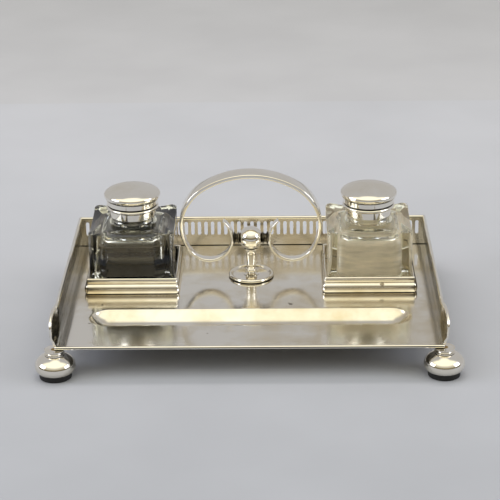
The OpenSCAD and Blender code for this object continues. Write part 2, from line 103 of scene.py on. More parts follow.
def colour(name, description, code):
    """A colour property whose default is given as an sRGB hex code."""
    return FloatVectorProperty(name=name, description=description, default=linear(code),
                               subtype="COLOR", min=0, max=1)


CORNER_SHADE = linear("1c1913")        # painted shade laid into corners, between parts and along the tray floor
PITS = linear("6b5d45")         # base metal where the plate is through
OVERHEAD = linear("dcd8c6")     # the room's colour as a block of glass gathers it


class InkstandTray(bpy.types.PropertyGroup):
    """Sizes of the tray, its trough and its gallery"""
    trough_width: length("Trough width", "Width of the pen trough at the tray surface", 24)
    trough_margin: length("Trough margin", "Plain tray beside each end of the trough", 17)
    trough_front: length("Trough place", "From the front edge to the middle of the trough", 42)
    trough_rim: length("Trough rim", "Rounding along the trough's edge", 0.9)
    band: length("Plain band", "Plain gallery below the slots", 7.5)
    top_band: length("Top band", "Plain gallery between the slots and the top wire", 2.5)
    slot_width: length("Slot width", "Width of a gallery slot", 2.2)
    slot_pitch: length("Slot pitch", "Distance from slot to slot", 4.39)
    slot_margin: length("Slot margin", "Plain gallery at each end of a wall", 4.2)
    ear_length: length("Ear length", "Length of the flared front end of a side gallery", 18)
    ear_flare: length("Ear flare", "How far an ear stands outwards", 2.5)
    ear_tip: length("Ear tip", "Height of an ear's tip above the tray", 10.5)
    ear_strip: length("Ear foot", "Height over which an ear starts to flare", 5)
    foot_roll: length("Foot roll", "From a foot's widest line in to the flat under it", 2)
    foot_oval: length("Foot oval", "Full height of the oval that a foot is turned to", 15.4)


class InkstandWells(bpy.types.PropertyGroup):
    """Sizes of the glass wells, their holders, collars and lids"""
    body_height: length("Body height", "Height of the square glass body", 39.2)
    corner: length("Corner", "Rounding of the glass body's upright corners", 3.4)
    cut_run: length("Edge cut run", "How far the hollow along a top edge reaches in", 6.5)
    cut_drop: length("Edge cut drop", "How far that hollow reaches down the face", 2.4)
    cove: length("Neck cove", "Radius of the curve at the foot of the neck", 3)
    mouth: length("Mouth radius", "Radius of the mouth", 10.5)
    neck_wall: length("Neck wall", "Thickness of the glass neck", 2.5)
    base: length("Glass base", "Glass below the ink space", 7.5)
    roof: length("Glass roof", "Glass above the ink space", 6)
    ink_corner: length("Ink corner", "Rounding of the ink space's upright corners", 5)
    pool: length("Ink pool", "Height to which thick ink has dried on the wall", 12)
    film: length("Ink film", "Thickness of the dried film on the wall", 0.12)
    crust: length("Ink crust", "Thickness of the dried ink on the floor", 2)
    moulding: length("Moulding", "How far a holder's base moulding stands out", 1.3)
    holder_wall: length("Holder wall", "Thickness of a holder's wall", 1.6)
    collar_wall: length("Collar wall", "Thickness of a collar's wall", 0.9)
    collar_height: length("Collar height", "Height of a collar below its bead", 4.8)
    bead: length("Collar bead", "Diameter of the bead round a collar", 2.2)
    skirt_height: length("Skirt height", "Height of a lid's skirt", 3.7)
    skirt_wall: length("Skirt wall", "Thickness of a lid's skirt", 1.1)
    belly: length("Dome belly", "Height of a dome's widest line", 2.3)
    undercut: length("Dome undercut", "How far a dome pulls in below its widest line", 1.5)


class InkstandHandle(bpy.types.PropertyGroup):
    """Sizes of the handle"""
    thickness: length("Thickness", "Thickness of the strap over the arch", 2.6)
    scroll_thickness: length("Scroll thickness", "Thickness of the strap in the scrolls", 1.9)
    tip_thickness: length("Tip thickness", "Thickness of the strap at its tips", 1.2)
    scroll_width: length("Scroll width", "Width of the strap in the scrolls", 6.4)
    side_radius: length("Side radius", "Radius of the strap's side bends", 29.8)
    edge: length("Edge", "Rounding of the strap's edges", 0.7)
    disc: length("Disc", "Thickness of the base disc", 1.4)


class InkstandFinishes(bpy.types.PropertyGroup):
    """Colours of the inkstand and of its stage"""
    silver: colour("Silver", "Polished silver plate", "efebe2")
    toned: colour("Toned silver", "Silver plate with a thin warm tarnish", "d8cbae")
    # painted shade: a darker silver that stands for the dim room the side galleries reflect
    dull: colour("Dulled silver", "Silver plate that the polishing cloth doesn't reach", "5f5b52")
    tarnish: colour("Tarnish", "Black tarnish left in the recesses", "3b372e")
    glass: colour("Glass", "Clear flint glass", "f3f5ee")
    stain: colour("Stain", "Washed-out ink on the inside of the glass", "e4d6bf")
    ink: colour("Ink", "Dried ink", "0d0e12")
    film: colour("Ink film", "Thin dried ink on the glass", "5b5347")
    rubber: colour("Pads", "Black rubber pads", "141414")
    brass: colour("Brass", "Turned brass fixings", "c9a866")
    plaster: colour("Plaster", "Plaster under the collars", "d9d2bf")
    floor: colour("Floor", "Pale cloth floor", "a4a6ac")
    wall: colour("Wall", "Pale paper behind the inkstand", "a3a4a8")
    backdrop: colour("Backdrop", "Pale room behind the paper", "bebdbe")
    ceiling: colour("Ceiling", "Warm light from above and in front", "fffbe6")


SETTINGS = {
    "inkstand_tray": InkstandTray,
    "inkstand_wells": InkstandWells,
    "inkstand_handle": InkstandHandle,
    "inkstand_finishes": InkstandFinishes,
}


# ---------- mesh helpers ----------

def arc(centre, radii, start, end, steps):
    """Points along an arc or an ellipse, angles in degrees from straight out, upwards."""
    turns = [radians(start + (end - start) * i / steps) for i in range(steps + 1)]
    return [(centre[0] + radii[0] * cos(t), centre[1] + radii[1] * sin(t)) for t in turns]


def lathe(profile, steps=ROUND_STEPS, closed=False):
    """Spins a profile of (radius, height) points round the upright axis."""
    bm = bmesh.new()
    verts = [bm.verts.new((r, 0, z)) for r, z in profile]
    edges = [bm.edges.new(pair) for pair in zip(verts, verts[1:])]
    if closed:
        edges.append(bm.edges.new((verts[-1], verts[0])))
    bmesh.ops.spin(bm, geom=verts + edges, cent=(0, 0, 0), axis=(0, 0, 1), angle=2 * pi,
                   steps=steps, use_merge=True)
    bmesh.ops.remove_doubles(bm, verts=bm.verts, dist=1e-6)
    bmesh.ops.recalc_face_normals(bm, faces=bm.faces)
    return bm


def rounded_ring(half_x, half_y, radius, z, count=48):
    """Points of a level rounded rectangle: a circle whose quarters are moved apart."""
    points = []
    for i in range(count):
        t = 2 * pi * (i + 0.5) / count
        away_x = half_x - radius if cos(t) > 0 else radius - half_x
        away_y = half_y - radius if sin(t) > 0 else radius - half_y
        points.append(Vector((away_x + radius * cos(t), away_y + radius * sin(t), z)))
    return points


def ring_edges(bm, verts):
    """The edges that join a closed loop of vertices."""
    return [bm.edges.get(pair) for pair in zip(verts, verts[1:] + verts[:1])]


def loft(rings, caps=True, fuse=False):
    """Extrudes a closed loop from ring to ring. Fused ends meet where the last ring is the first."""
    bm = bmesh.new()
    loop = bmesh.ops.create_circle(bm, cap_ends=False, radius=1, segments=len(rings[0]))["verts"]
    for vert, place in zip(loop, rings[0]):
        vert.co = place
    first = loop
    for ring in rings[1:]:
        made = bmesh.ops.extrude_edge_only(bm, edges=ring_edges(bm, loop))["geom"]
        fresh = {v for v in made if isinstance(v, bmesh.types.BMVert)}
        loop = [next(e.other_vert(v) for e in v.link_edges if e.other_vert(v) in fresh) for v in loop]
        for vert, place in zip(loop, ring):
            vert.co = place
    if caps:
        for end in (first, loop):
            bmesh.ops.contextual_create(bm, geom=ring_edges(bm, end))
    if fuse:
        bmesh.ops.remove_doubles(bm, verts=bm.verts, dist=1e-6)
    bmesh.ops.recalc_face_normals(bm, faces=bm.faces)
    return bm


def tube(path, radii, side, steps=SMALL_STEPS):
    """A round wire along a path that lies flat to the side direction, with rounded ends."""
    rings = []
    last = len(path) - 1
    for i, (point, radius) in enumerate(zip(path, radii)):
        along = (path[min(i + 1, last)] - path[max(i - 1, 0)]).normalized()
        across = along.cross(side).normalized()
        flat = across.cross(along)
        turns = [2 * pi * j / steps for j in range(steps)]
        ring = [point + radius * (cos(t) * flat + sin(t) * across) for t in turns]
        if i in (0, last):
            outward = -along if i == 0 else along
            domes = [[point + radius * (cos(a) * (p - point) / radius + sin(a) * outward) for p in ring]
                     for a in (radians(80), radians(55), radians(28))]
            rings += domes + [ring] if i == 0 else [ring] + domes[::-1]
        else:
            rings.append(ring)
    return loft(rings)


def join(*parts):
    """Puts several finished shells in one mesh. Each is a bmesh, or a bmesh with its place."""
    bm = bmesh.new()
    for part in parts:
        shell, place = part if isinstance(part, tuple) else (part, Matrix.Identity(4))
        mesh = bpy.data.meshes.new("shell")
        shell.to_mesh(mesh)
        shell.free()
        mesh.transform(place)
        bm.from_mesh(mesh)
        bpy.data.meshes.remove(mesh)
    return bm


def piece(name, bm, body, slot, material, *nodes, sharp=38, bevel=0.0):
    """Turns a bmesh into a finished piece that rides on a body in place of CAD nodes."""
    mesh = bpy.data.meshes.new(name)
    bm.to_mesh(mesh)
    bm.free()
    mesh.materials.append(material)
    mesh.shade_smooth()
    mesh.set_sharp_from_angle(angle=radians(sharp))
    made = bpy.data.objects.new(name, mesh)
    bpy.context.scene.collection.objects.link(made)
    if bevel:
        edges = made.modifiers.new("Edges", "BEVEL")
        edges.width = bevel
        edges.segments = 2
        edges.limit_method = "ANGLE"
        edges.angle_limit = radians(40)
        edges.harden_normals = True
    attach(made, body)
    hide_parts(*nodes)
    return made


def at(x, y, z=0.0):
    return Matrix.Translation((x, y, z))


# ---------- materials ----------

def add(tree, kind, inputs=None, **settings):
    """Adds a node, sets its settings, and sets or links its inputs."""
    made = tree.nodes.new(kind)
    for key, value in settings.items():
        setattr(made, key, value)
    for key, value in (inputs or {}).items():
        if isinstance(value, bpy.types.NodeSocket):
            tree.links.new(value, made.inputs[key])
        else:
            made.inputs[key].default_value = value
    return made


def ramp(tree, source, stops):
    """A colour ramp through (place, grey or colour) stops."""
    made = add(tree, "ShaderNodeValToRGB", {"Fac": source})
    keys = made.color_ramp.elements
    while len(keys) < len(stops):
        keys.new(1)
    for key, (place, value) in zip(keys, stops):
        key.position = place
        key.color = (*value, 1) if isinstance(value, tuple) else (value, value, value, 1)
    return made.outputs["Color"]


def new_material(name):
    """An empty material, its tree and its object coordinates."""
    made = bpy.data.materials.new(name)
    made.use_nodes = True
    tree = made.node_tree
    tree.nodes.clear()
    places = add(tree, "ShaderNodeTexCoord").outputs["Object"]
    return made, tree, places


def per_mm(size):
    """Noise scale that gives features of a size in millimetres."""
    return 1 / (size * MM)


def opaque(colour_value):
    return (*colour_value, 1)


def silver_plate(name, clean, toned, tone=0.5, rough=0.07, spots=True, corners="own"):
    """Silver plate, rolled, raised and hand-polished: a mirror that bends a little with the sheet,
    with fine rubbing marks, a patchy warm tone and a few dark pits. Painted shade darkens the corners of
    the piece's own shape, or those between all the pieces, and a thin line just above the tray floor; or
    none."""
    made, tree, places = new_material(name)
    patches = add(tree, "ShaderNodeTexNoise", {"Vector": places, "Scale": per_mm(38), "Detail": 5,
                                               "Roughness": 0.6}).outputs["Fac"]
    toning = ramp(tree, patches, [(0.42, 0.0), (0.72, tone)])
    base = add(tree, "ShaderNodeMix", {"Factor": toning, "A": opaque(clean), "B": opaque(toned)},
               data_type="RGBA")
    skin = base.outputs["Result"]
    rubbed = add(tree, "ShaderNodeMapping", {"Vector": places, "Rotation": (0.2, 0.1, 0.35),
                                             "Scale": (1, 9, 3)}).outputs["Vector"]
    # rubbing marks are really some 0.05 mm apart: drawn at 0.9 mm so that they show
    marks = add(tree, "ShaderNodeTexNoise", {"Vector": rubbed, "Scale": per_mm(0.9),
                                             "Detail": 3}).outputs["Fac"]
    haze = add(tree, "ShaderNodeMapRange", {"Value": patches, "From Min": 0.35, "From Max": 0.75,
                                            "To Min": rough * 0.7, "To Max": rough * 1.9}).outputs["Result"]
    gloss = add(tree, "ShaderNodeMath", {0: marks, 1: rough * 0.7, 2: haze}, operation="MULTIPLY_ADD")
    dull = gloss.outputs["Value"]
    if spots:
        grit = add(tree, "ShaderNodeTexNoise", {"Vector": places, "Scale": per_mm(7),
                                                "Detail": 2}).outputs["Fac"]
        pits = ramp(tree, grit, [(0.735, 0.0), (0.765, 0.8)])
        skin = add(tree, "ShaderNodeMix", {"Factor": pits, "A": skin, "B": opaque(PITS)},
                   data_type="RGBA").outputs["Result"]
    if corners:
        # painted shade: the colour goes dark where the piece's own corners, or all nearby parts, hide it
        # from the room, and along a thin line just above the tray floor
        corner = add(tree, "ShaderNodeAmbientOcclusion", {"Distance": 1.6 * MM}, samples=8,
                     only_local=corners == "own").outputs["AO"]
        height = add(tree, "ShaderNodeSeparateXYZ", {"Vector": places}).outputs["Z"]
        floor_line_shade = add(tree, "ShaderNodeMath", {0: height, 1: FLOOR_Z + 0.2 * MM, 2: 0.25 * MM},
                    operation="COMPARE").outputs["Value"]
        painted_shade = add(tree, "ShaderNodeMath", {0: ramp(tree, corner, [(0.35, 0.92), (0.68, 0.0)]), 1: floor_line_shade},
                    operation="MAXIMUM").outputs["Value"]
        skin = add(tree, "ShaderNodeMix", {"Factor": painted_shade, "A": skin, "B": opaque(CORNER_SHADE)},
                   data_type="RGBA").outputs["Result"]
    waves = add(tree, "ShaderNodeTexNoise", {"Vector": places, "Scale": per_mm(26),
                                             "Detail": 1}).outputs["Fac"]
    swell = add(tree, "ShaderNodeBump", {"Height": waves, "Strength": 1, "Distance": 0.05 * MM})
    fine = add(tree, "ShaderNodeBump", {"Height": marks, "Strength": 0.5, "Distance": 0.0012 * MM,
                                        "Normal": swell.outputs["Normal"]})
    metal = add(tree, "ShaderNodeBsdfPrincipled", {"Base Color": skin, "Metallic": 1, "Roughness": dull,
                                                   "Normal": fine.outputs["Normal"]})
    add(tree, "ShaderNodeOutputMaterial", {"Surface": metal.outputs["BSDF"]})
    return made


def tarnished_silver(name, dark, toned):
    """Silver left unpolished in recesses: almost black, with a dull warm sheen on the high spots."""
    made, tree, places = new_material(name)
    cloud = add(tree, "ShaderNodeTexNoise", {"Vector": places, "Scale": per_mm(3),
                                             "Detail": 5}).outputs["Fac"]
    skin = add(tree, "ShaderNodeMix", {"Factor": ramp(tree, cloud, [(0.45, 0.0), (0.8, 0.6)]),
                                       "A": opaque(dark), "B": opaque(toned)}, data_type="RGBA")
    rough = add(tree, "ShaderNodeMapRange", {"Value": cloud, "To Min": 0.25,
                                             "To Max": 0.5}).outputs["Result"]
    metal = add(tree, "ShaderNodeBsdfPrincipled", {"Base Color": skin.outputs["Result"], "Metallic": 1,
                                                   "Roughness": rough})
    add(tree, "ShaderNodeOutputMaterial", {"Surface": metal.outputs["BSDF"]})
    return made


def flint_glass(name, tint, centre, roof, coat):
    """Flint glass, pressed and cut: clear and heavy, with faces that are a little wavy. A coat of dried ink
    clings to the walls of the ink space, in tide marks over a thick dark band."""
    made, tree, places = new_material(name)
    waves = add(tree, "ShaderNodeTexNoise", {"Vector": places, "Scale": per_mm(14),
                                             "Detail": 2}).outputs["Fac"]
    swell = add(tree, "ShaderNodeBump", {"Height": waves, "Strength": 1, "Distance": 0.1 * MM})
    glass = add(tree, "ShaderNodeBsdfPrincipled", {"Base Color": opaque(tint), "Roughness": 0.0,
                                                   "IOR": 1.52,
                                                   "Transmission Weight": 1,
                                                   "Normal": swell.outputs["Normal"]})
    # light passes through a clear block, so its shadow is faint
    shadow = add(tree, "ShaderNodeLightPath").outputs["Is Shadow Ray"]
    faint = add(tree, "ShaderNodeMath", {0: shadow, 1: 0.9}, operation="MULTIPLY").outputs["Value"]
    clear = add(tree, "ShaderNodeBsdfTransparent", {"Color": opaque(tint)})
    block = add(tree, "ShaderNodeMixShader", {"Fac": faint, 1: glass.outputs["BSDF"],
                                              2: clear.outputs["BSDF"]})
    parts = add(tree, "ShaderNodeSeparateXYZ", {"Vector": places}).outputs
    reaches = []
    for part, across in ((parts["X"], centre.x), (parts["Y"], centre.y)):
        off = add(tree, "ShaderNodeMath", {0: part, 1: across}, operation="SUBTRACT").outputs["Value"]
        reaches.append(add(tree, "ShaderNodeMath", {0: off}, operation="ABSOLUTE").outputs["Value"])
    reach = add(tree, "ShaderNodeMath", {0: reaches[0], 1: reaches[1]},
                operation="MAXIMUM").outputs["Value"]
    within = add(tree, "ShaderNodeMath", {0: reach, 1: half_width("left_dried_ink") + 0.5 * MM},
                 operation="LESS_THAN").outputs["Value"]
    below = add(tree, "ShaderNodeMath", {0: parts["Z"], 1: roof}, operation="LESS_THAN").outputs["Value"]
    inner = add(tree, "ShaderNodeMath", {0: within, 1: below}, operation="MULTIPLY").outputs["Value"]
    cover, skin = dried_coat(tree, places, parts["Z"], *coat)
    veil = add(tree, "ShaderNodeMath", {0: cover, 1: inner}, operation="MULTIPLY").outputs["Value"]
    front = add(tree, "ShaderNodeBsdfDiffuse", {"Color": skin})
    through = add(tree, "ShaderNodeBsdfTranslucent", {"Color": skin})
    film = add(tree, "ShaderNodeMixShader", {"Fac": 0.5, 1: front.outputs["BSDF"],
                                             2: through.outputs["BSDF"]})
    both = add(tree, "ShaderNodeMixShader", {"Fac": veil, 1: block.outputs["Shader"],
                                             2: film.outputs["Shader"]})
    add(tree, "ShaderNodeOutputMaterial", {"Surface": both.outputs["Shader"]})
    return made


def dried_coat(tree, places, height, thin, thick, cover_low, cover_high, level):
    """How much of the glass a coat of dried ink covers, and its colour: tide marks of the thin colour,
    and the thick colour up to the level that the ink stood at."""
    flat = add(tree, "ShaderNodeMapping", {"Vector": places, "Scale": (1, 1, 5)}).outputs["Vector"]
    tides = add(tree, "ShaderNodeTexNoise", {"Vector": flat, "Scale": per_mm(18), "Detail": 6,
                                             "Roughness": 0.6}).outputs["Fac"]
    edge = add(tree, "ShaderNodeMath", {0: tides, 1: -3 * MM, 2: height}, operation="MULTIPLY_ADD")
    deep = add(tree, "ShaderNodeMapRange", {"Value": edge.outputs["Value"], "From Min": level,
                                            "From Max": level - 1.2 * MM}).outputs["Result"]
    patchy = ramp(tree, tides, [(0.35, cover_low), (0.62, cover_high)])
    cover = add(tree, "ShaderNodeMath", {0: patchy, 1: deep}, operation="MAXIMUM").outputs["Value"]
    tone = ramp(tree, tides, [(0.35, tuple(c * 0.72 for c in thin)), (0.64, tuple(thin))])
    skin = add(tree, "ShaderNodeMix", {"Factor": deep, "A": tone, "B": opaque(thick)}, data_type="RGBA")
    return cover, skin.outputs["Result"]


def ink_crust(name, ink):
    """Ink dried to a crust: blue-black and half glossy, with fine crazing."""
    made, tree, places = new_material(name)
    cracks = add(tree, "ShaderNodeTexVoronoi", {"Vector": places, "Scale": per_mm(2.5)},
                 feature="DISTANCE_TO_EDGE").outputs["Distance"]
    relief = ramp(tree, cracks, [(0.0, 0.0), (0.09, 1.0)])
    bump = add(tree, "ShaderNodeBump", {"Height": relief, "Strength": 0.7, "Distance": 0.1 * MM})
    dry = add(tree, "ShaderNodeBsdfPrincipled", {"Base Color": opaque(ink), "Roughness": 0.28,
                                                 "Normal": bump.outputs["Normal"]})
    add(tree, "ShaderNodeOutputMaterial", {"Surface": dry.outputs["BSDF"]})
    return made


def ink_film(name, film, ink, level):
    """Ink dried on glass: black and thick up to the level it stood at, with brown-grey tide marks above,
    thin enough in places to see through."""
    made, tree, places = new_material(name)
    height = add(tree, "ShaderNodeSeparateXYZ", {"Vector": places}).outputs["Z"]
    cover, skin = dried_coat(tree, places, height, film, ink, 0.72, 0.95, level)
    dry = add(tree, "ShaderNodeBsdfPrincipled", {"Base Color": skin, "Roughness": 0.35})
    clear = add(tree, "ShaderNodeBsdfTransparent")
    both = add(tree, "ShaderNodeMixShader", {"Fac": cover, 1: clear.outputs["BSDF"],
                                             2: dry.outputs["BSDF"]})
    add(tree, "ShaderNodeOutputMaterial", {"Surface": both.outputs["Shader"]})
    return made


def rubber(name, black):
    """Moulded rubber: black and matt, a little greyed by dust."""
    made, tree, places = new_material(name)
    dust = add(tree, "ShaderNodeTexNoise", {"Vector": places, "Scale": per_mm(1.6),
                                            "Detail": 4}).outputs["Fac"]
    skin = ramp(tree, dust, [(0.4, tuple(black)), (0.8, tuple(c * 2.4 for c in black))])
    bump = add(tree, "ShaderNodeBump", {"Height": dust, "Strength": 0.4, "Distance": 0.05 * MM})
    pad = add(tree, "ShaderNodeBsdfPrincipled", {"Base Color": skin, "Roughness": 0.75,
                                                 "Normal": bump.outputs["Normal"]})
    add(tree, "ShaderNodeOutputMaterial", {"Surface": pad.outputs["BSDF"]})
    return made


def turned_brass(name, brass):
    """Brass turned on a lathe and left to dull: yellow-brown with a soft sheen."""
    made, tree, places = new_material(name)
    age = add(tree, "ShaderNodeTexNoise", {"Vector": places, "Scale": per_mm(2.2),
                                           "Detail": 5}).outputs["Fac"]
    skin = ramp(tree, age, [(0.35, tuple(c * 0.5 for c in brass)), (0.65, tuple(brass))])
    rough = add(tree, "ShaderNodeMapRange", {"Value": age, "To Min": 0.45,
                                             "To Max": 0.22}).outputs["Result"]
    metal = add(tree, "ShaderNodeBsdfPrincipled", {"Base Color": skin, "Metallic": 1, "Roughness": rough})
    add(tree, "ShaderNodeOutputMaterial", {"Surface": metal.outputs["BSDF"]})
    return made


def cast_plaster(name, plaster):
    """Plaster of Paris, poured: off-white, chalky and finely pitted."""
    made, tree, places = new_material(name)
    grain = add(tree, "ShaderNodeTexNoise", {"Vector": places, "Scale": per_mm(0.8),
                                             "Detail": 4}).outputs["Fac"]
    skin = ramp(tree, grain, [(0.3, tuple(c * 0.8 for c in plaster)), (0.7, tuple(plaster))])
    bump = add(tree, "ShaderNodeBump", {"Height": grain, "Strength": 0.6, "Distance": 0.08 * MM})
    chalk = add(tree, "ShaderNodeBsdfPrincipled", {"Base Color": skin, "Roughness": 0.9,
                                                   "Normal": bump.outputs["Normal"]})
    add(tree, "ShaderNodeOutputMaterial", {"Surface": chalk.outputs["BSDF"]})
    return made


def pale_cloth(name, cloth):
    """Pale woven cloth, pressed flat: matt, with soft creases."""
    made, tree, places = new_material(name)
    folds = add(tree, "ShaderNodeTexNoise", {"Vector": places, "Scale": per_mm(120),
                                             "Detail": 3}).outputs["Fac"]
    skin = ramp(tree, folds, [(0.35, tuple(c * 0.94 for c in cloth)), (0.65, tuple(cloth))])
    bump = add(tree, "ShaderNodeBump", {"Height": folds, "Strength": 0.5, "Distance": 3 * MM})
    matt = add(tree, "ShaderNodeBsdfPrincipled", {"Base Color": skin, "Roughness": 0.95,
                                                  "Normal": bump.outputs["Normal"]})
    add(tree, "ShaderNodeOutputMaterial", {"Surface": matt.outputs["BSDF"]})
    return made


def finish(name):
    """The material of that name, made once from the finish colours."""
    if name not in bpy.data.materials:
        tones = bpy.context.scene.inkstand_finishes
        wells = bpy.context.scene.inkstand_wells
        roof = FLOOR_Z + wells.body_height - wells.roof - 1.2 * MM
        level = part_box("left_dried_ink")[0].z + wells.pool
        makers = {
            "polished_silver_plate": lambda: silver_plate(name, tones.silver, tones.toned),
            "turned_silver_plate": lambda: silver_plate(name, tones.silver, tones.toned, 0.4, 0.045,
                                                        False, "all"),
            "toned_silver_plate": lambda: silver_plate(name, tones.silver, tones.toned, 0.9, 0.1),
            "pressed_silver_plate": lambda: silver_plate(name, tones.silver, tones.toned, 0.9, 0.1, True,
                                                         None),
            # painted shade: the side galleries' silver, darkened to stand for the dim room they reflect
            "shaded_silver_plate": lambda: silver_plate(name, tones.dull, tones.toned, 0.35, 0.12),
            "tarnished_silver": lambda: tarnished_silver(name, tones.tarnish, tones.toned),
            "inky_flint_glass": lambda: flint_glass(name, tones.glass, middle("left_glass"), roof,
                                                    (tones.film, tones.ink, 0.6, 0.9, level)),
            "stained_flint_glass": lambda: flint_glass(name, tones.glass, middle("right_glass"), roof,
                                                       (tones.stain, tones.ink, 0.66, 0.8, 0)),
            "dried_ink_crust": lambda: ink_crust(name, tones.ink),
            "dried_ink_film": lambda: ink_film(name, tones.film, tones.ink, level),
            "moulded_rubber": lambda: rubber(name, tones.rubber),
            "turned_brass": lambda: turned_brass(name, tones.brass),
            "cast_plaster": lambda: cast_plaster(name, tones.plaster),
            "pale_cloth": lambda: pale_cloth(name, tones.floor),
            "pale_paper": lambda: pale_cloth(name, tones.wall),
        }
        makers[name]()
    return bpy.data.materials[name]


def refinish(node, name):
    """Gives a carried-over CAD node a better material."""
    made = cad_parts[node]
    made.data.materials.clear()
    made.data.materials.append(finish(name))


# ---------- tray ----------

class INKSTAND_OT_tray(bpy.types.Operator):
    """Tray plate with its pressed pen trough, and the wire along its front edge"""
    bl_idname = "inkstand.tray"
    bl_label = "Tray"

    def execute(self, context):
        tray = context.scene.inkstand_tray
        piece("tray_with_trough", self.plate(tray), "stand", "silver_plate",
              finish("pressed_silver_plate"), "tray_plate")
        wire = middle("front_edge_wire")
        reach = half_width("front_edge_wire")
        radius = half_width("front_edge_wire", 2)
        ends = [Vector((x, wire.y, wire.z)) for x in (radius - reach, 0, reach - radius)]
        piece("front_wire", tube(ends, [radius] * 3, Vector((0, 0, 1))), "stand", "silver_plate",
              finish("turned_silver_plate"), "front_edge_wire")
        return {"FINISHED"}

    def plate(self, tray):
        half = tray.trough_width / 2
        depth = FLOOR_Z - TRAY_LOW.z - PLATE_T
        radius = (half ** 2 + depth ** 2) / (2 * depth)
        steep = atan2(half, radius - depth)
        end_x = TRAY_HIGH.x - tray.trough_margin - half
        rim = tray.trough_rim
        start = half + rim * tan(steep / 2)
        profile = [(start + rim, 0.0)]
        profile += [(start - rim * sin(a), rim * cos(a) - rim) for a in (steep * i / 6 for i in range(7))]
        low = acos((radius - depth + profile[-1][1] * -1) / radius)
        profile += [(radius * sin(a),
                     radius - depth - radius * cos(a)) for a in (low * i / 14 for i in range(13, -1, -1))]
        rings = [rounded_ring(end_x + r, r, r, FLOOR_Z + z, 64) for r, z in profile]
        bm = loft(rings, caps=False, fuse=True)
        bmesh.ops.translate(bm, verts=bm.verts, vec=(0, TRAY_LOW.y + tray.trough_front, 0))
        border = [e for e in bm.edges if e.is_boundary]
        corners = [bm.verts.new((x, y, FLOOR_Z)) for x, y in
                   ((TRAY_LOW.x, TRAY_LOW.y), (TRAY_HIGH.x, TRAY_LOW.y),
                    (TRAY_HIGH.x, TRAY_HIGH.y), (TRAY_LOW.x, TRAY_HIGH.y))]
        border += [bm.edges.new(pair) for pair in zip(corners, corners[1:] + corners[:1])]
        bmesh.ops.triangle_fill(bm, edges=border, use_beauty=True)
        bmesh.ops.recalc_face_normals(bm, faces=bm.faces)
        if sum(f.normal.z * f.calc_area() for f in bm.faces) < 0:
            bmesh.ops.reverse_faces(bm, faces=bm.faces)
        bmesh.ops.solidify(bm, geom=bm.faces, thickness=PLATE_T)
        bmesh.ops.recalc_face_normals(bm, faces=bm.faces)
        return bm


# ---------- gallery ----------

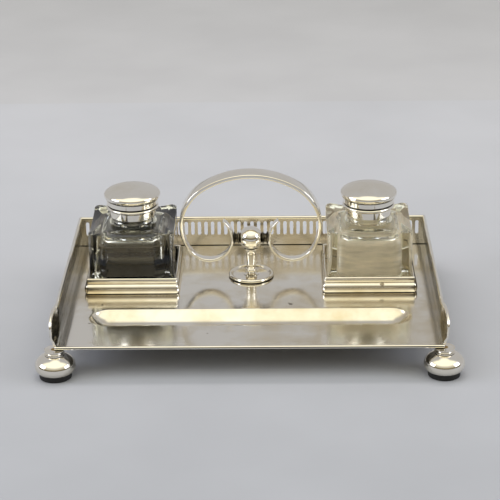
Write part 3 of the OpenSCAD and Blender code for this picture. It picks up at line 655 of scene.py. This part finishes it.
class INKSTAND_OT_gallery(bpy.types.Operator):
    """Pierced gallery on three sides, its flared ears and the wire along its top"""
    bl_idname = "inkstand.gallery"
    bl_label = "Gallery"

    def execute(self, context):
        tray = context.scene.inkstand_tray
        silver = finish("polished_silver_plate")
        wall = RAIL_Z - FLOOR_Z
        width = TRAY_HIGH.x - TRAY_LOW.x
        depth = TRAY_HIGH.y - TRAY_LOW.y - WALL_T
        bm = self.sheet(tray, [(0, 0), (width, 0), (width, wall), (0, wall)], 0, width, wall)
        bmesh.ops.translate(bm, verts=bm.verts, vec=(TRAY_LOW.x, TRAY_HIGH.y - WALL_T / 2, FLOOR_Z))
        piece("pierced_back_gallery", bm, "stand", "silver_plate", silver, "back_gallery", bevel=0.14 * MM)
        reach = TRAY_HIGH.x - RAIL_R
        back = middle("back_rail").y
        ends = [Vector((x, back, RAIL_Z)) for x in (-reach, 0, reach)]
        piece("back_gallery_wire", tube(ends, [RAIL_R] * 3, Vector((0, 0, 1))), "stand", "silver_plate",
              finish("turned_silver_plate"), "back_rail")
        for name, side in SIDES.items():
            outline = [(tray.ear_length * (1 - cos(a)), tray.ear_tip + (wall - tray.ear_tip) * sin(a))
                       for a in (radians(90) * i / 12 for i in range(13))]
            bm = self.sheet(tray, [(0, 0), *outline, (depth, wall), (depth, 0)], tray.ear_length, depth,
                            wall)
            self.flare(bm, tray)
            turn = Matrix(((0, side, 0, side * (TRAY_HIGH.x - WALL_T / 2)), (1, 0, 0, TRAY_LOW.y),
                           (0, 0, 1, FLOOR_Z), (0, 0, 0, 1)))
            bmesh.ops.transform(bm, matrix=turn, verts=bm.verts)
            bmesh.ops.recalc_face_normals(bm, faces=bm.faces)
            # painted shade: the side galleries get the darkened silver that stands for their dim reflection
            piece(f"pierced_{name}_gallery", bm, "stand", "silver_plate", finish("shaded_silver_plate"),
                  f"{name}_gallery", bevel=0.14 * MM)
            path = [(depth, wall), (tray.ear_length * 1.6, wall), *reversed(outline),
                    (0, tray.ear_tip * 0.5),
                    (0, tray.ear_tip * 0.22), (0, 0.4 * MM)]
            points = [Vector((side * (TRAY_HIGH.x - WALL_T / 2 + self.bend(u, z, tray)), TRAY_LOW.y + u,
                              FLOOR_Z + z)) for u, z in path]
            shrink = [1, 1] + [1 - 0.025 * i for i in range(13)] + [0.62, 0.6, 0.58]
            piece(f"{name}_gallery_wire", tube(points, [RAIL_R * s for s in shrink], Vector((1, 0, 0))),
                  "stand",
                  "silver_plate", finish("turned_silver_plate"), f"{name}_rail")
        return {"FINISHED"}

    def sheet(self, tray, outline, slots_from, slots_to, wall):
        """A pierced sheet standing on the X axis, with one row of slots."""
        bm = bmesh.new()
        verts = [bm.verts.new((u, 0, z)) for u, z in outline]
        edges = [bm.edges.new(pair) for pair in zip(verts, verts[1:] + verts[:1])]
        count = int((slots_to - slots_from - 2 * tray.slot_margin) / tray.slot_pitch + 1e-6)
        start = (slots_from + slots_to - count * tray.slot_pitch) / 2
        slot = wall - tray.band - tray.top_band
        shape = rounded_ring(tray.slot_width / 2, slot / 2, tray.slot_width / 2, 0, 20)
        for i in range(count + 1):
            centre = Vector((start + i * tray.slot_pitch, 0, tray.band + slot / 2))
            ring = [bm.verts.new(centre + Vector((p.x, 0, p.y))) for p in shape]
            edges += [bm.edges.new(pair) for pair in zip(ring, ring[1:] + ring[:1])]
        bmesh.ops.triangle_fill(bm, edges=edges, use_beauty=True)
        bmesh.ops.recalc_face_normals(bm, faces=bm.faces)
        bmesh.ops.solidify(bm, geom=bm.faces, thickness=WALL_T)
        middle_y = sum(v.co.y for v in bm.verts) / len(bm.verts)
        bmesh.ops.translate(bm, verts=bm.verts, vec=(0, -middle_y, 0))
        bmesh.ops.recalc_face_normals(bm, faces=bm.faces)
        return bm

    def flare(self, bm, tray):
        """Bends the front end of a side sheet outwards."""
        cuts = [((tray.ear_length * i / 8, 0, 0), (1, 0, 0)) for i in range(1, 9)]
        cuts += [((0, 0, tray.ear_strip * i / 3), (0, 0, 1)) for i in range(1, 5)]
        for place, normal in cuts:
            faces = [f for f in bm.faces if min(v.co.x for v in f.verts) < tray.ear_length]
            edges = list({e for f in faces for e in f.edges})
            verts = list({v for f in faces for v in f.verts})
            geom = faces + edges + verts
            bmesh.ops.bisect_plane(bm, geom=geom, plane_co=place, plane_no=normal, dist=1e-6)
        for vert in bm.verts:
            vert.co.y += self.bend(vert.co.x, vert.co.z, tray)

    def bend(self, u, z, tray):
        """How far the ear stands out at a place along and up the wall."""
        radius = (tray.ear_length ** 2 + tray.ear_flare ** 2) / (2 * tray.ear_flare)
        out = sqrt(radius ** 2 - min(u, tray.ear_length) ** 2) - radius + tray.ear_flare
        rise = min(max(z / (tray.ear_strip * 1.33), 0), 1)
        return out * rise * rise * (3 - 2 * rise)


# ---------- feet ----------

class INKSTAND_OT_feet(bpy.types.Operator):
    """Turned bun feet with their rubber pads, collars and screws"""
    bl_idname = "inkstand.feet"
    bl_label = "Feet"

    def execute(self, context):
        tray = context.scene.inkstand_tray
        for name, spot in FEET.items():
            low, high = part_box(f"{name}_foot")
            pad_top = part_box(f"{name}_pad")[1].z
            pad_r = half_width(f"{name}_pad")
            piece(f"{name}_bun_foot", join((self.bun(tray, low, high, pad_r, pad_top),
                                            at(spot.x, spot.y))), "stand",
                  "silver_plate", finish("turned_silver_plate"), f"{name}_foot")
            rim = 0.5 * MM
            pad = [(0, 0), *arc((pad_r - rim, rim), (rim, rim), -90, 0, 4), (pad_r, pad_top), (0, pad_top)]
            piece(f"{name}_rubber_pad", join((lathe(pad), at(spot.x, spot.y))), "stand", "pad",
                  finish("moulded_rubber"), f"{name}_pad")
        low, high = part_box("foot_collars")
        radius = high.x - FEET["front_right"].x
        bore = half_width("foot_screws") - FEET["front_right"].x
        waist = [(bore, low.z), (radius, low.z), (radius, low.z + 0.5 * MM),
                 *arc((radius, (low.z + high.z) / 2), (1.3 * MM, 1 * MM), -90, -270, 10),
                 (radius, high.z - 0.5 * MM), (radius, high.z), (bore, high.z)]
        collars = [(lathe(waist, 48, closed=True), at(spot.x, spot.y)) for spot in FEET.values()]
        piece("waisted_foot_collars", join(*collars), "stand", "silver_plate", finish("toned_silver_plate"),
              "foot_collars")
        refinish("foot_screws", "turned_brass")
        return {"FINISHED"}

    def bun(self, tray, low, high, pad_r, pad_top):
        wide = (high.x - low.x) / 2
        tall = tray.foot_oval / 2
        start = acos((wide - tray.foot_roll) / wide)
        centre = low.z + tall * sin(start)
        end = asin((high.z - centre) / tall)
        steps = 40
        turns = [-start + (end + start) * i / steps for i in range(steps + 1)]
        oval = [(wide * cos(t), centre + tall * sin(t)) for t in turns]
        return lathe([(0, pad_top), (pad_r, pad_top), (pad_r, low.z), *oval, (0, high.z)])


# ---------- holders ----------

class INKSTAND_OT_holders(bpy.types.Operator):
    """Square moulded frames that hold the glass wells"""
    bl_idname = "inkstand.holders"
    bl_label = "Holders"

    def execute(self, context):
        wells = context.scene.inkstand_wells
        for name in SIDES:
            low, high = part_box(f"{name}_holder")
            centre = middle(f"{name}_holder")
            out = (high.x - low.x) / 2
            face = out - wells.moulding
            inside = face - wells.holder_wall
            tall = high.z - low.z
            groove = tall * 0.62
            round_top = (tall - groove) / 2
            profile = [(inside, 0), (out - 0.5 * MM, 0)]
            profile += arc((face - 0.9 * MM, tall * 0.27), (out - face + 0.9 * MM, groove - tall * 0.27),
                           -50, 68, 14)
            profile += [(face - 0.5 * MM, groove), (face - 0.5 * MM, groove + 0.15 * MM)]
            profile += arc((face - 0.9 * MM, groove + 0.1 * MM + round_top), (0.9 * MM, round_top), -62,
                           90, 12)
            profile += [(inside + 0.2 * MM, tall), (inside, tall - 0.2 * MM), (inside, 0)]
            rings = [rounded_ring(h, h, max(2.6 * MM - (out - h), 0.5 * MM), z, 40) for h, z in profile]
            frame_bm = loft(rings, caps=False, fuse=True)
            piece(f"{name}_moulded_holder", join((frame_bm, at(centre.x, centre.y, low.z))), "stand",
                  "silver_plate", finish("polished_silver_plate"), f"{name}_holder")
        return {"FINISHED"}


# ---------- handle ----------

class INKSTAND_OT_handle(bpy.types.Operator):
    """Scrolled strap, ball, bosses, post and base disc of the handle, and their fastening"""
    bl_idname = "inkstand.handle"
    bl_label = "Handle"

    side_turn = 32          # degrees from straight up, where the top arc meets a side arc
    scroll_turn = 128       # where a side arc meets its scroll
    scroll_tip = 322        # where a scroll ends

    def execute(self, context):
        handle = context.scene.inkstand_handle
        silver = finish("turned_silver_plate")
        ball_r = half_width("handle_ball", 1)
        ball_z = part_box("handle_ball")[1].z - ball_r
        piece("scrolled_strap", self.strap(handle, ball_z), "stand", "silver_plate", silver, "handle_band")
        ball = arc((0, ball_z), (ball_r, ball_r), -90, 90, 48)
        piece("turned_ball", join((lathe(ball), at(0, ROW_Y))), "stand", "silver_plate", silver,
              "handle_ball")
        for name, side in SIDES.items():
            low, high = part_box(f"{name}_boss")
            radius = (high.y - low.y) / 2
            inner = ball_r - 0.35 * MM
            outer = max(abs(low.x), abs(high.x))
            spool = [(0, inner), (radius * 0.8, inner), (radius, inner + 0.4 * MM),
                     *arc((radius, (inner + outer) / 2), (1.3 * MM, (outer - inner) / 2 - 0.7 * MM), -90,
                          -270, 10),
                     (radius, outer - 0.35 * MM), (radius * 0.9, outer), (0, outer)]
            turn = at(0, ROW_Y, ball_z) @ Matrix.Rotation(side * pi / 2, 4, "Y")
            piece(f"{name}_spool_boss", join((lathe(spool, 48), turn)), "stand", "silver_plate",
                  finish("tarnished_silver"), f"{name}_boss")
        self.post_and_disc(handle, ball_z, ball_r)
        for node in ("handle_stud", "handle_washer", "handle_nut"):
            refinish(node, "turned_brass")
        return {"FINISHED"}

    def post_and_disc(self, handle, ball_z, ball_r):
        silver = finish("turned_silver_plate")
        low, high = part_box("handle_base")
        disc_r = (high.x - low.x) / 2
        bead = (high.z - low.z) / 2
        top = low.z + handle.disc
        rim = disc_r - bead
        disc = [(0, low.z), (rim, low.z), *arc((rim, low.z + bead), (bead, bead), -90, 150, 18),
                (rim - bead * 1.05, top + 0.25 * MM), (rim - bead * 1.4, top - 0.3 * MM),
                (rim * 0.6, top - 0.3 * MM), (rim * 0.35, top), (0, top)]
        piece("dished_base", join((lathe(disc), at(0, ROW_Y))), "stand", "silver_plate", silver,
              "handle_base")
        shaft = 3.2 * MM
        flare = 5 * MM
        neck = 2.3 * MM
        knop = 3.9 * MM
        post_top = ball_z - ball_r * 0.9
        post = [(0, top - 0.2 * MM), (flare, top - 0.2 * MM), (flare, top + 0.15 * MM)]
        post += [(neck + (flare - neck) * (1 - sin(a)), top + 0.2 * MM + 1.3 * MM * (1 - cos(a)))
                 for a in (radians(90) * i / 6 for i in range(7))]
        post += arc((knop - 0.9 * MM, top + 3.1 * MM), (0.9 * MM, 1 * MM), -75, 75, 10)
        post += [(shaft * 0.93, top + 4.4 * MM), (shaft, top + 6 * MM), (shaft * 1.05, post_top - 3 * MM)]
        post += [(shaft + 1.2 * MM * i * i / 16, post_top - 3 * MM + 2.6 * MM * i / 4) for i in range(1, 5)]
        post += [(shaft + 1.2 * MM, post_top + 0.1 * MM), (0, post_top + 0.4 * MM)]
        piece("turned_post", join((lathe(post, 64), at(0, ROW_Y))), "stand", "silver_plate", silver,
              "handle_post")

    def strap(self, handle, scroll_z):
        """A flat strap swept along the arch and its scrolls, thinner and narrower towards the tips."""
        thick = handle.thickness
        wide = half_width("handle_band", 1) * 2
        half_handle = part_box("handle_band")[1].x - thick / 2
        inner_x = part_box("right_boss")[1].x + thick / 2
        side_r = handle.side_radius
        lean = sin(radians(self.scroll_turn))
        scroll_r = (half_handle - inner_x - side_r * (1 - lean)) / (1 + lean)
        side_x = half_handle - side_r
        scroll_x = side_x + (side_r - scroll_r) * lean
        side_z = scroll_z - (side_r - scroll_r) * cos(radians(self.scroll_turn))
        top_r = side_r + side_x / sin(radians(self.side_turn))
        top_z = side_z - (top_r - side_r) * cos(radians(self.side_turn))
        taper_high = side_z + side_r / 2
        taper_low = side_z + side_r * cos(radians(self.scroll_turn))
        arcs = [(0, top_z, top_r, 0, self.side_turn, 16), (side_x, side_z, side_r, self.side_turn,
                                                           self.scroll_turn, 36),
                (scroll_x, scroll_z, scroll_r, self.scroll_turn, self.scroll_tip, 60)]
        stations = []
        for x, z, r, start, end, steps in arcs:
            for i in range(steps + 1 if end == self.scroll_tip else steps):
                turn = start + (end - start) * i / steps
                height = z + r * cos(radians(turn))
                taper = min(max((height - taper_low) / (taper_high - taper_low), 0), 1)
                if turn > self.scroll_turn:
                    taper = 0
                near_tip = min(max((turn - 235) / (self.scroll_tip - 235), 0), 1)
                width = handle.scroll_width + (wide - handle.scroll_width) * taper
                thin = handle.scroll_thickness + (thick - handle.scroll_thickness) * taper
                thin += (handle.tip_thickness - handle.scroll_thickness) * near_tip
                stations.append((x, z, r + thick / 2, turn, width, thin))
        mirrored = [(-x, z, r, -turn, w, t) for x, z, r, turn, w, t in stations[:0:-1]]
        rings = []
        for x, z, r, turn, width, thin in mirrored + stations:
            out = Vector((sin(radians(turn)), 0, cos(radians(turn))))
            face = Vector((x, ROW_Y, z)) + out * (r - thin / 2)
            edge = min(handle.edge, thin * 0.45)
            section = rounded_ring(width / 2, thin / 2, edge, 0, 24)
            rings.append([face + Vector((0, p.x, 0)) + out * p.y for p in section])
        return loft(rings)


# ---------- glass wells ----------

def square_ring(half, corner, side_steps=20, corner_steps=6):
    """Points round a square with rounded corners, each with its place along its side from -1 to 1."""
    straight = half - corner
    points = []
    for quarter in range(4):
        turn = Matrix.Rotation(quarter * pi / 2, 2)
        local = [((half, straight * (2 * i / side_steps - 1)),
                  2 * i / side_steps - 1) for i in range(side_steps)]
        local += [((straight + corner * cos(t), straight + corner * sin(t)), 1)
                  for t in (pi / 2 * i / corner_steps for i in range(corner_steps))]
        points += [(turn @ Vector(p), s) for p, s in local]
    return points


class INKSTAND_OT_wells(bpy.types.Operator):
    """Cut glass wells, with the plaster that beds their collars"""
    bl_idname = "inkstand.wells"
    bl_label = "Glass wells"

    def execute(self, context):
        wells = context.scene.inkstand_wells
        for name in SIDES:
            centre = middle(f"{name}_glass")
            bm = self.glass(wells, *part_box(f"{name}_glass"))
            piece(f"{name}_cut_glass_well", join((bm, at(centre.x, centre.y))), f"{name}_well", "glass",
                  finish("inky_flint_glass" if name == "left" else "stained_flint_glass"),
                  f"{name}_glass", sharp=50)
            refinish(f"{name}_cement", "cast_plaster")
        return {"FINISHED"}

    def glass(self, wells, low, high):
        """One closed skin: up the outside, over the mouth and down into the ink space."""
        half = (high.x - low.x) / 2
        top = low.z + wells.body_height
        neck = wells.mouth + wells.neck_wall
        square = square_ring(half, wells.corner)
        plan = [p for p, s in square]
        bow = [1 - s * s for p, s in square]

        def level(shrink, z):
            return [Vector((*(p * (1 - shrink / half)), z)) for p in plan]

        def top_edge(run, drop, small):
            ring = []
            for p, b in zip(plan, bow):
                inward = run * b + small
                axis = 0 if abs(p.x) > abs(p.y) else 1
                place = p * (1 - small / half)
                place[axis] -= run * b * (1 if p[axis] > 0 else -1)
                ring.append(Vector((*place, top - drop * b - (0.35 * MM if inward < 0.3 * MM else 0))))
            return ring

        def circle(radius, z):
            return [Vector((*(p.normalized() * radius), z)) for p in plan]

        # the underside is ground hollow, so that it stands on its rim
        rings = [level(2.6 * MM, low.z + 0.35 * MM), level(1.6 * MM, low.z + 0.02 * MM),
                 level(0.8 * MM, low.z + 0.02 * MM), level(0.25 * MM, low.z + 0.17 * MM),
                 level(0, low.z + 0.7 * MM)]
        rings += [top_edge(0, wells.cut_drop, 0)]
        rings += [top_edge(wells.cut_run * f, wells.cut_drop * (1 - f), 0.35 * MM) for f in (0.06, 0.5,
                                                                                             0.94)]
        rings += [top_edge(wells.cut_run, 0, 0.9 * MM)]
        rim = rings[-1]
        foot = circle(neck + wells.cove, top)
        rings += [[a.lerp(b, f) for a, b in zip(rim, foot)] for f in (0.1, 0.5, 0.9)]
        rings += [circle(neck + wells.cove * (1 - sin(a)), top + wells.cove * (1 - cos(a)))
                  for a in (pi / 2 * i / 8 for i in range(9))]
        rings += [circle(neck, high.z - 0.8 * MM), circle(neck - 0.25 * MM, high.z - 0.2 * MM),
                  circle(neck - 0.8 * MM, high.z), circle(wells.mouth + 0.8 * MM, high.z),
                  circle(wells.mouth, high.z - 0.8 * MM)]
        floor = low.z + wells.base
        roof = top - wells.roof
        ink = half_width("left_dried_ink")
        rings += [circle(r, z) for r, z in arc((wells.mouth + 1.2 * MM, roof + 1.2 * MM),
                                               (-1.2 * MM, 1.2 * MM), 0, -90, 4)]
        inside = [p for p, s in square_ring(ink, wells.ink_corner)]
        shoulder = arc((ink - 5 * MM, roof - 5 * MM), (5 * MM, 5 * MM), 90, 0, 8)
        heel = arc((ink - 3 * MM, floor + 3 * MM), (3 * MM, 3 * MM), 0, -90, 8)
        rings += [[Vector((*(p * (r / ink)), z)) for p in inside] for r, z in shoulder + heel]
        rings += [[Vector((*(p * f), floor)) for p in inside] for f in (0.5, 0.1)]
        return loft(rings)


class INKSTAND_OT_dried_ink(bpy.types.Operator):
    """Dried ink in the left well: a crust on the floor and a thin film up the wall"""
    bl_idname = "inkstand.dried_ink"
    bl_label = "Dried ink"

    def execute(self, context):
        wells = context.scene.inkstand_wells
        low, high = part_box("left_dried_ink")
        centre = middle("left_dried_ink")
        gap = 0.04 * MM
        half = (high.x - low.x) / 2 - gap
        turn = 3 * MM
        skin = wells.film
        floor = low.z + gap
        crust_z = floor + wells.crust
        bowl = arc((half - turn, floor + turn), (turn, turn), -90, -15, 8)
        bowl += [(half - 0.3 * MM, crust_z + 0.7 * MM), (half - 1.6 * MM, crust_z + 0.1 * MM),
                 (half * 0.8, crust_z - 0.15 * MM), (half * 0.3, crust_z)]
        rings = [rounded_ring(h, h, wells.ink_corner + h - half - gap, z) for h, z in bowl[:-2]]
        rings += [rounded_ring(h, h, min(wells.ink_corner, h * 0.6), z) for h, z in bowl[-2:]]
        piece("dried_ink_crust", join((loft(rings), at(centre.x, centre.y))), "left_well", "dried_ink",
              finish("dried_ink_crust"), "left_dried_ink")
        rise = floor + turn + 0.4 * MM
        wall = [(half, rise), (half, high.z), (half - skin, high.z), (half - skin, rise), (half, rise)]
        rings = [rounded_ring(h, h, wells.ink_corner + h - half - gap, z) for h, z in wall]
        piece("dried_ink_film", join((loft(rings, caps=False, fuse=True), at(centre.x, centre.y))),
              "left_well",
              "dried_ink", finish("dried_ink_film"), "left_dried_ink")
        return {"FINISHED"}


# ---------- collars and lids ----------

def knuckle(x0, x1, y, z, radius, bore):
    """A hinge knuckle along X, bored for its pin."""
    soft = 0.2 * MM
    profile = [(bore, x0), (radius - soft, x0), (radius, x0 + soft), (radius, x1 - soft),
               (radius - soft, x1), (bore, x1)]
    turn = at(0, y, z) @ Matrix.Rotation(pi / 2, 4, "Y")
    return lathe(profile, SMALL_STEPS, closed=True), turn


def leaf(x0, x1, y0, y1, z0, z1):
    """A small hinge leaf with softened edges."""
    bm = bmesh.new()
    bmesh.ops.create_cube(bm, size=1)
    bmesh.ops.scale(bm, vec=(x1 - x0, y1 - y0, z1 - z0), verts=bm.verts)
    bmesh.ops.bevel(bm, geom=bm.edges, offset=0.15 * MM, offset_type="OFFSET", segments=2, profile=0.5,
                    affect="EDGES", material=-1)
    return bm, at((x0 + x1) / 2, (y0 + y1) / 2, (z0 + z1) / 2)


class INKSTAND_OT_collars(bpy.types.Operator):
    """Beaded collars with their hinge knuckles and pins"""
    bl_idname = "inkstand.collars"
    bl_label = "Collars"

    def execute(self, context):
        wells = context.scene.inkstand_wells
        for name in SIDES:
            low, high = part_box(f"{name}_collar")
            centre = middle(f"{name}_glass")
            inner = half_width(f"{name}_cement")
            outer = inner + wells.collar_wall
            bead = wells.bead / 2
            bead_r = (high.x - low.x) / 2 - bead
            bead_z = low.z + wells.collar_height + bead
            soft = 0.2 * MM
            profile = [(inner, low.z), (outer - soft, low.z), (outer, low.z + soft),
                       (outer, bead_z - bead - 0.5 * MM), (outer - 0.3 * MM, bead_z - bead - 0.3 * MM),
                       (outer - 0.3 * MM, bead_z - bead + 0.1 * MM),
                       *arc((bead_r, bead_z), (bead, bead), -125, 125, 24), (outer, bead_z + bead),
                       (outer, high.z - soft), (outer - soft, high.z), (inner + soft, high.z),
                       (inner, high.z - soft)]
            pin = middle(f"{name}_hinge_pin")
            reach = half_width(f"{name}_hinge_pin")
            bore = half_width(f"{name}_hinge_pin", 2)
            radius = pin.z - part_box(f"{name}_lid_skirt")[0].z
            end = 2.6 * MM
            spans = [(-reach, end - reach), (reach - end, reach)]
            parts = [lathe(profile, closed=True)]
            parts += [knuckle(a, b, pin.y - centre.y, pin.z, radius, bore) for a, b in spans]
            parts += [leaf(a, b, bead_r, pin.y - centre.y - bore - 0.4 * MM, bead_z - 0.7 * MM,
                           bead_z + 0.7 * MM)
                      for a, b in spans]
            bm = join((join(*parts), at(centre.x, centre.y)))
            piece(f"{name}_beaded_collar", bm, f"{name}_well", "silver_plate",
                  finish("turned_silver_plate"),
                  f"{name}_collar")
            refinish(f"{name}_hinge_pin", "turned_brass")
        return {"FINISHED"}


class INKSTAND_OT_lids(bpy.types.Operator):
    """Domed lids with their skirts and hinge knuckles"""
    bl_idname = "inkstand.lids"
    bl_label = "Lids"

    def execute(self, context):
        wells = context.scene.inkstand_wells
        for name in SIDES:
            low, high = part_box(f"{name}_lid_dome")
            centre = middle(f"{name}_lid_dome")
            radius = (high.x - low.x) / 2
            tall = high.z - low.z
            under = wells.undercut
            foot = radius - under
            dome = [(0, 0), (foot - 0.3 * MM, 0)]
            dome += [(foot + under * sin(a), wells.belly * (1 - cos(a)))
                     for a in (pi / 2 * i / 10 for i in range(11))]
            dome += [(radius * cos(a) ** 0.82, wells.belly + (tall - wells.belly) * sin(a))
                     for a in (pi / 2 * i / 30 for i in range(1, 30))]
            dome += [(0, tall)]
            bm = join((lathe(dome, 128), at(centre.x, centre.y, low.z)))
            piece(f"{name}_domed_lid", bm, f"{name}_lid", "silver_plate", finish("turned_silver_plate"),
                  f"{name}_lid_dome")
            outer = half_width(f"{name}_lid_skirt")
            inner = outer - wells.skirt_wall
            start = low.z - wells.skirt_height
            soft = 0.25 * MM
            skirt = [(inner, start), (outer - soft, start), (outer, start + soft),
                     (outer, low.z - 0.7 * MM), (outer - 0.45 * MM, low.z - 0.35 * MM),
                     (outer - 0.45 * MM, low.z), (inner, low.z)]
            pin = middle(f"{name}_hinge_pin")
            y = pin.y - centre.y
            bore = half_width(f"{name}_hinge_pin", 2) + 0.05 * MM
            knuckle_r = pin.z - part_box(f"{name}_lid_skirt")[0].z
            reach = 2.5 * MM
            parts = [lathe(skirt, closed=True), knuckle(-reach, reach, y, pin.z, knuckle_r, bore),
                     leaf(-reach, reach, (inner + outer) / 2, y - bore - 0.4 * MM, start, start + 1.1 * MM)]
            piece(f"{name}_lid_rim", join((join(*parts), at(centre.x, centre.y))), f"{name}_lid",
                  "silver_plate",
                  finish("turned_silver_plate"), f"{name}_lid_skirt")
        return {"FINISHED"}


# ---------- stage ----------

class INKSTAND_OT_stage(bpy.types.Operator):
    """Pale floor, soft studio light, and the camera"""
    bl_idname = "inkstand.stage"
    bl_label = "Stage"

    seam = 0.456            # where the cloth ends and the paper begins, behind the inkstand
    reach = 4               # how far the two run out, so that no view sees past them

    def execute(self, context):
        tones = context.scene.inkstand_finishes
        seam = Vector((0, self.seam, 0))
        self.sheet("floor", [Vector((0, -self.reach, 0)), seam], finish("pale_cloth"))
        self.sheet("backdrop", [seam, Vector((0, self.reach, 0))], finish("pale_paper"))
        self.camera(context)
        self.room(context, tones)
        for side, watts in ((-1, 7), (1, 6)):
            self.soft_light("left_window" if side < 0 else "right_window", (side * 1.25, -0.35, 0.62),
                            (0.75, 0.55), watts, "e9f0ff")
        fill = self.soft_light("overhead_fill", (-0.4, -0.3, 1.6), (1.2, 1.2), 5.2, "dfe7ff")
        far_fill = self.soft_light("far_fill", (0, 0.3, 0.8), (1.8, 0.25), 5.6, "fff8f4", (0, 0.72, 0))
        for light in (fill, far_fill):
            light.visible_glossy = False
        context.scene.cycles.max_bounces = 24
        context.scene.cycles.glossy_bounces = 10
        context.scene.cycles.transmission_bounces = 24
        return {"FINISHED"}

    def sheet(self, name, path, material):
        """A wide sheet drawn across the stage along a path."""
        bm = bmesh.new()
        verts = [bm.verts.new(point - Vector((self.reach, 0, 0))) for point in path]
        edges = [bm.edges.new(pair) for pair in zip(verts, verts[1:])]
        made = bmesh.ops.extrude_edge_only(bm, edges=edges)["geom"]
        moved = [v for v in made if isinstance(v, bmesh.types.BMVert)]
        bmesh.ops.translate(bm, verts=moved, vec=(2 * self.reach, 0, 0))
        mesh = bpy.data.meshes.new(name)
        bm.to_mesh(mesh)
        bm.free()
        mesh.materials.append(material)
        mesh.shade_smooth()
        laid = bpy.data.objects.new(name, mesh)
        bpy.context.scene.collection.objects.link(laid)

    def camera(self, context):
        """A long lens from the front, a little above: the lens, place and turns of the portrait view."""
        lens = bpy.data.cameras.new("camera")
        lens.lens = 129.97
        lens.sensor_width = 36
        seat = bpy.data.objects.new("camera", lens)
        down, turn, roll = radians(22.22), radians(-1.0), radians(-0.758)
        ahead = Vector((sin(turn) * cos(down), cos(turn) * cos(down), -sin(down)))
        right = Vector((cos(turn), -sin(turn), 0))
        up = right.cross(ahead)
        side = cos(roll) * right + sin(roll) * up
        top = -sin(roll) * right + cos(roll) * up
        seat.matrix_world = Matrix((side, top, -ahead)).transposed().to_4x4()
        seat.location = (0.0180, -1.0420, 0.4733)
        context.scene.collection.objects.link(seat)
        context.scene.camera = seat

    def room(self, context, tones):
        """A pale room that is bright above and behind, and dim and warm towards the front."""
        world = bpy.data.worlds.new("room")
        world.use_nodes = True
        tree = world.node_tree
        tree.nodes.clear()
        way = add(tree, "ShaderNodeTexCoord").outputs["Generated"]
        parts = add(tree, "ShaderNodeSeparateXYZ", {"Vector": way}).outputs
        height = add(tree, "ShaderNodeMapRange", {"Value": parts["Z"], "From Min": -1}).outputs["Result"]
        glow = tuple(c * 1.4 for c in tones.ceiling)
        back = ramp(tree, height, [(0.5, tuple(tones.backdrop)), (0.968, tuple(tones.backdrop)),
                                   (0.994, glow)])
        front = ramp(tree, height, [(0.4, linear("9a9994")), (0.5, linear("7d776a")),
                                    (0.57, linear("6f6753")),
                                    (0.63, linear("a89d80")), (0.69, linear("cbc6b8")),
                                    (0.77, linear("e2dccb")),
                                    (0.86, glow), (1, glow)])
        toward = add(tree, "ShaderNodeMapRange", {"Value": parts["Y"], "From Min": -0.1, "From Max": 0.2},
                     interpolation_type="SMOOTHSTEP").outputs["Result"]
        around = add(tree, "ShaderNodeMix", {"Factor": toward, "A": front, "B": back}, data_type="RGBA")
        rays = add(tree, "ShaderNodeLightPath").outputs
        # glass gathers the room from all sides, so what it passes on is closer to the room's average
        gathered = add(tree, "ShaderNodeMath", {0: rays["Is Transmission Ray"], 1: 0.65},
                       operation="MULTIPLY")
        both = add(tree, "ShaderNodeMix", {"Factor": gathered.outputs["Value"],
                                           "A": around.outputs["Result"],
                                           "B": opaque(OVERHEAD)}, data_type="RGBA")
        lit = add(tree, "ShaderNodeBackground", {"Color": both.outputs["Result"], "Strength": 1})
        add(tree, "ShaderNodeOutputWorld", {"Surface": lit.outputs["Background"]})
        context.scene.world = world
        context.scene.view_settings.view_transform = "Standard"

    def soft_light(self, name, place, size, watts, code, aim=(0, 0, 0.04)):
        """A large soft panel, aimed at the inkstand or at another place."""
        panel = bpy.data.lights.new(name, "AREA")
        panel.shape = "RECTANGLE"
        panel.size, panel.size_y = size
        panel.energy = watts
        panel.color = linear(code)
        seat = bpy.data.objects.new(name, panel)
        seat.location = place
        seat.rotation_euler = (Vector(aim) - seat.location).to_track_quat("-Z", "Y").to_euler()
        bpy.context.scene.collection.objects.link(seat)
        return seat


# ---------- add-on ----------

STEPS = (INKSTAND_OT_tray, INKSTAND_OT_gallery, INKSTAND_OT_feet, INKSTAND_OT_holders, INKSTAND_OT_handle,
         INKSTAND_OT_wells, INKSTAND_OT_dried_ink, INKSTAND_OT_collars, INKSTAND_OT_lids, INKSTAND_OT_stage)


class INKSTAND_PT_panel(bpy.types.Panel):
    """Sizes, colours and pieces of the inkstand"""
    bl_idname = "INKSTAND_PT_panel"
    bl_label = "Inkstand"
    bl_space_type = "VIEW_3D"
    bl_region_type = "UI"
    bl_category = "Inkstand"

    def draw(self, context):
        for group in SETTINGS:
            box = self.layout.box()
            settings = getattr(context.scene, group)
            for name in settings.__annotations__:
                box.prop(settings, name)
        for step in STEPS:
            self.layout.operator(step.bl_idname)


CLASSES = (*SETTINGS.values(), *STEPS, INKSTAND_PT_panel)


def register():
    for cls in CLASSES:
        bpy.utils.register_class(cls)
    for name, group in SETTINGS.items():
        setattr(bpy.types.Scene, name, PointerProperty(type=group))


def unregister():
    for name in SETTINGS:
        delattr(bpy.types.Scene, name)
    for cls in reversed(CLASSES):
        bpy.utils.unregister_class(cls)


def main():
    register()
    for step in STEPS:
        group, name = step.bl_idname.split(".")
        getattr(getattr(bpy.ops, group), name)()
    bpy.context.view_layer.update()


if __name__ == "__main__":
    main()
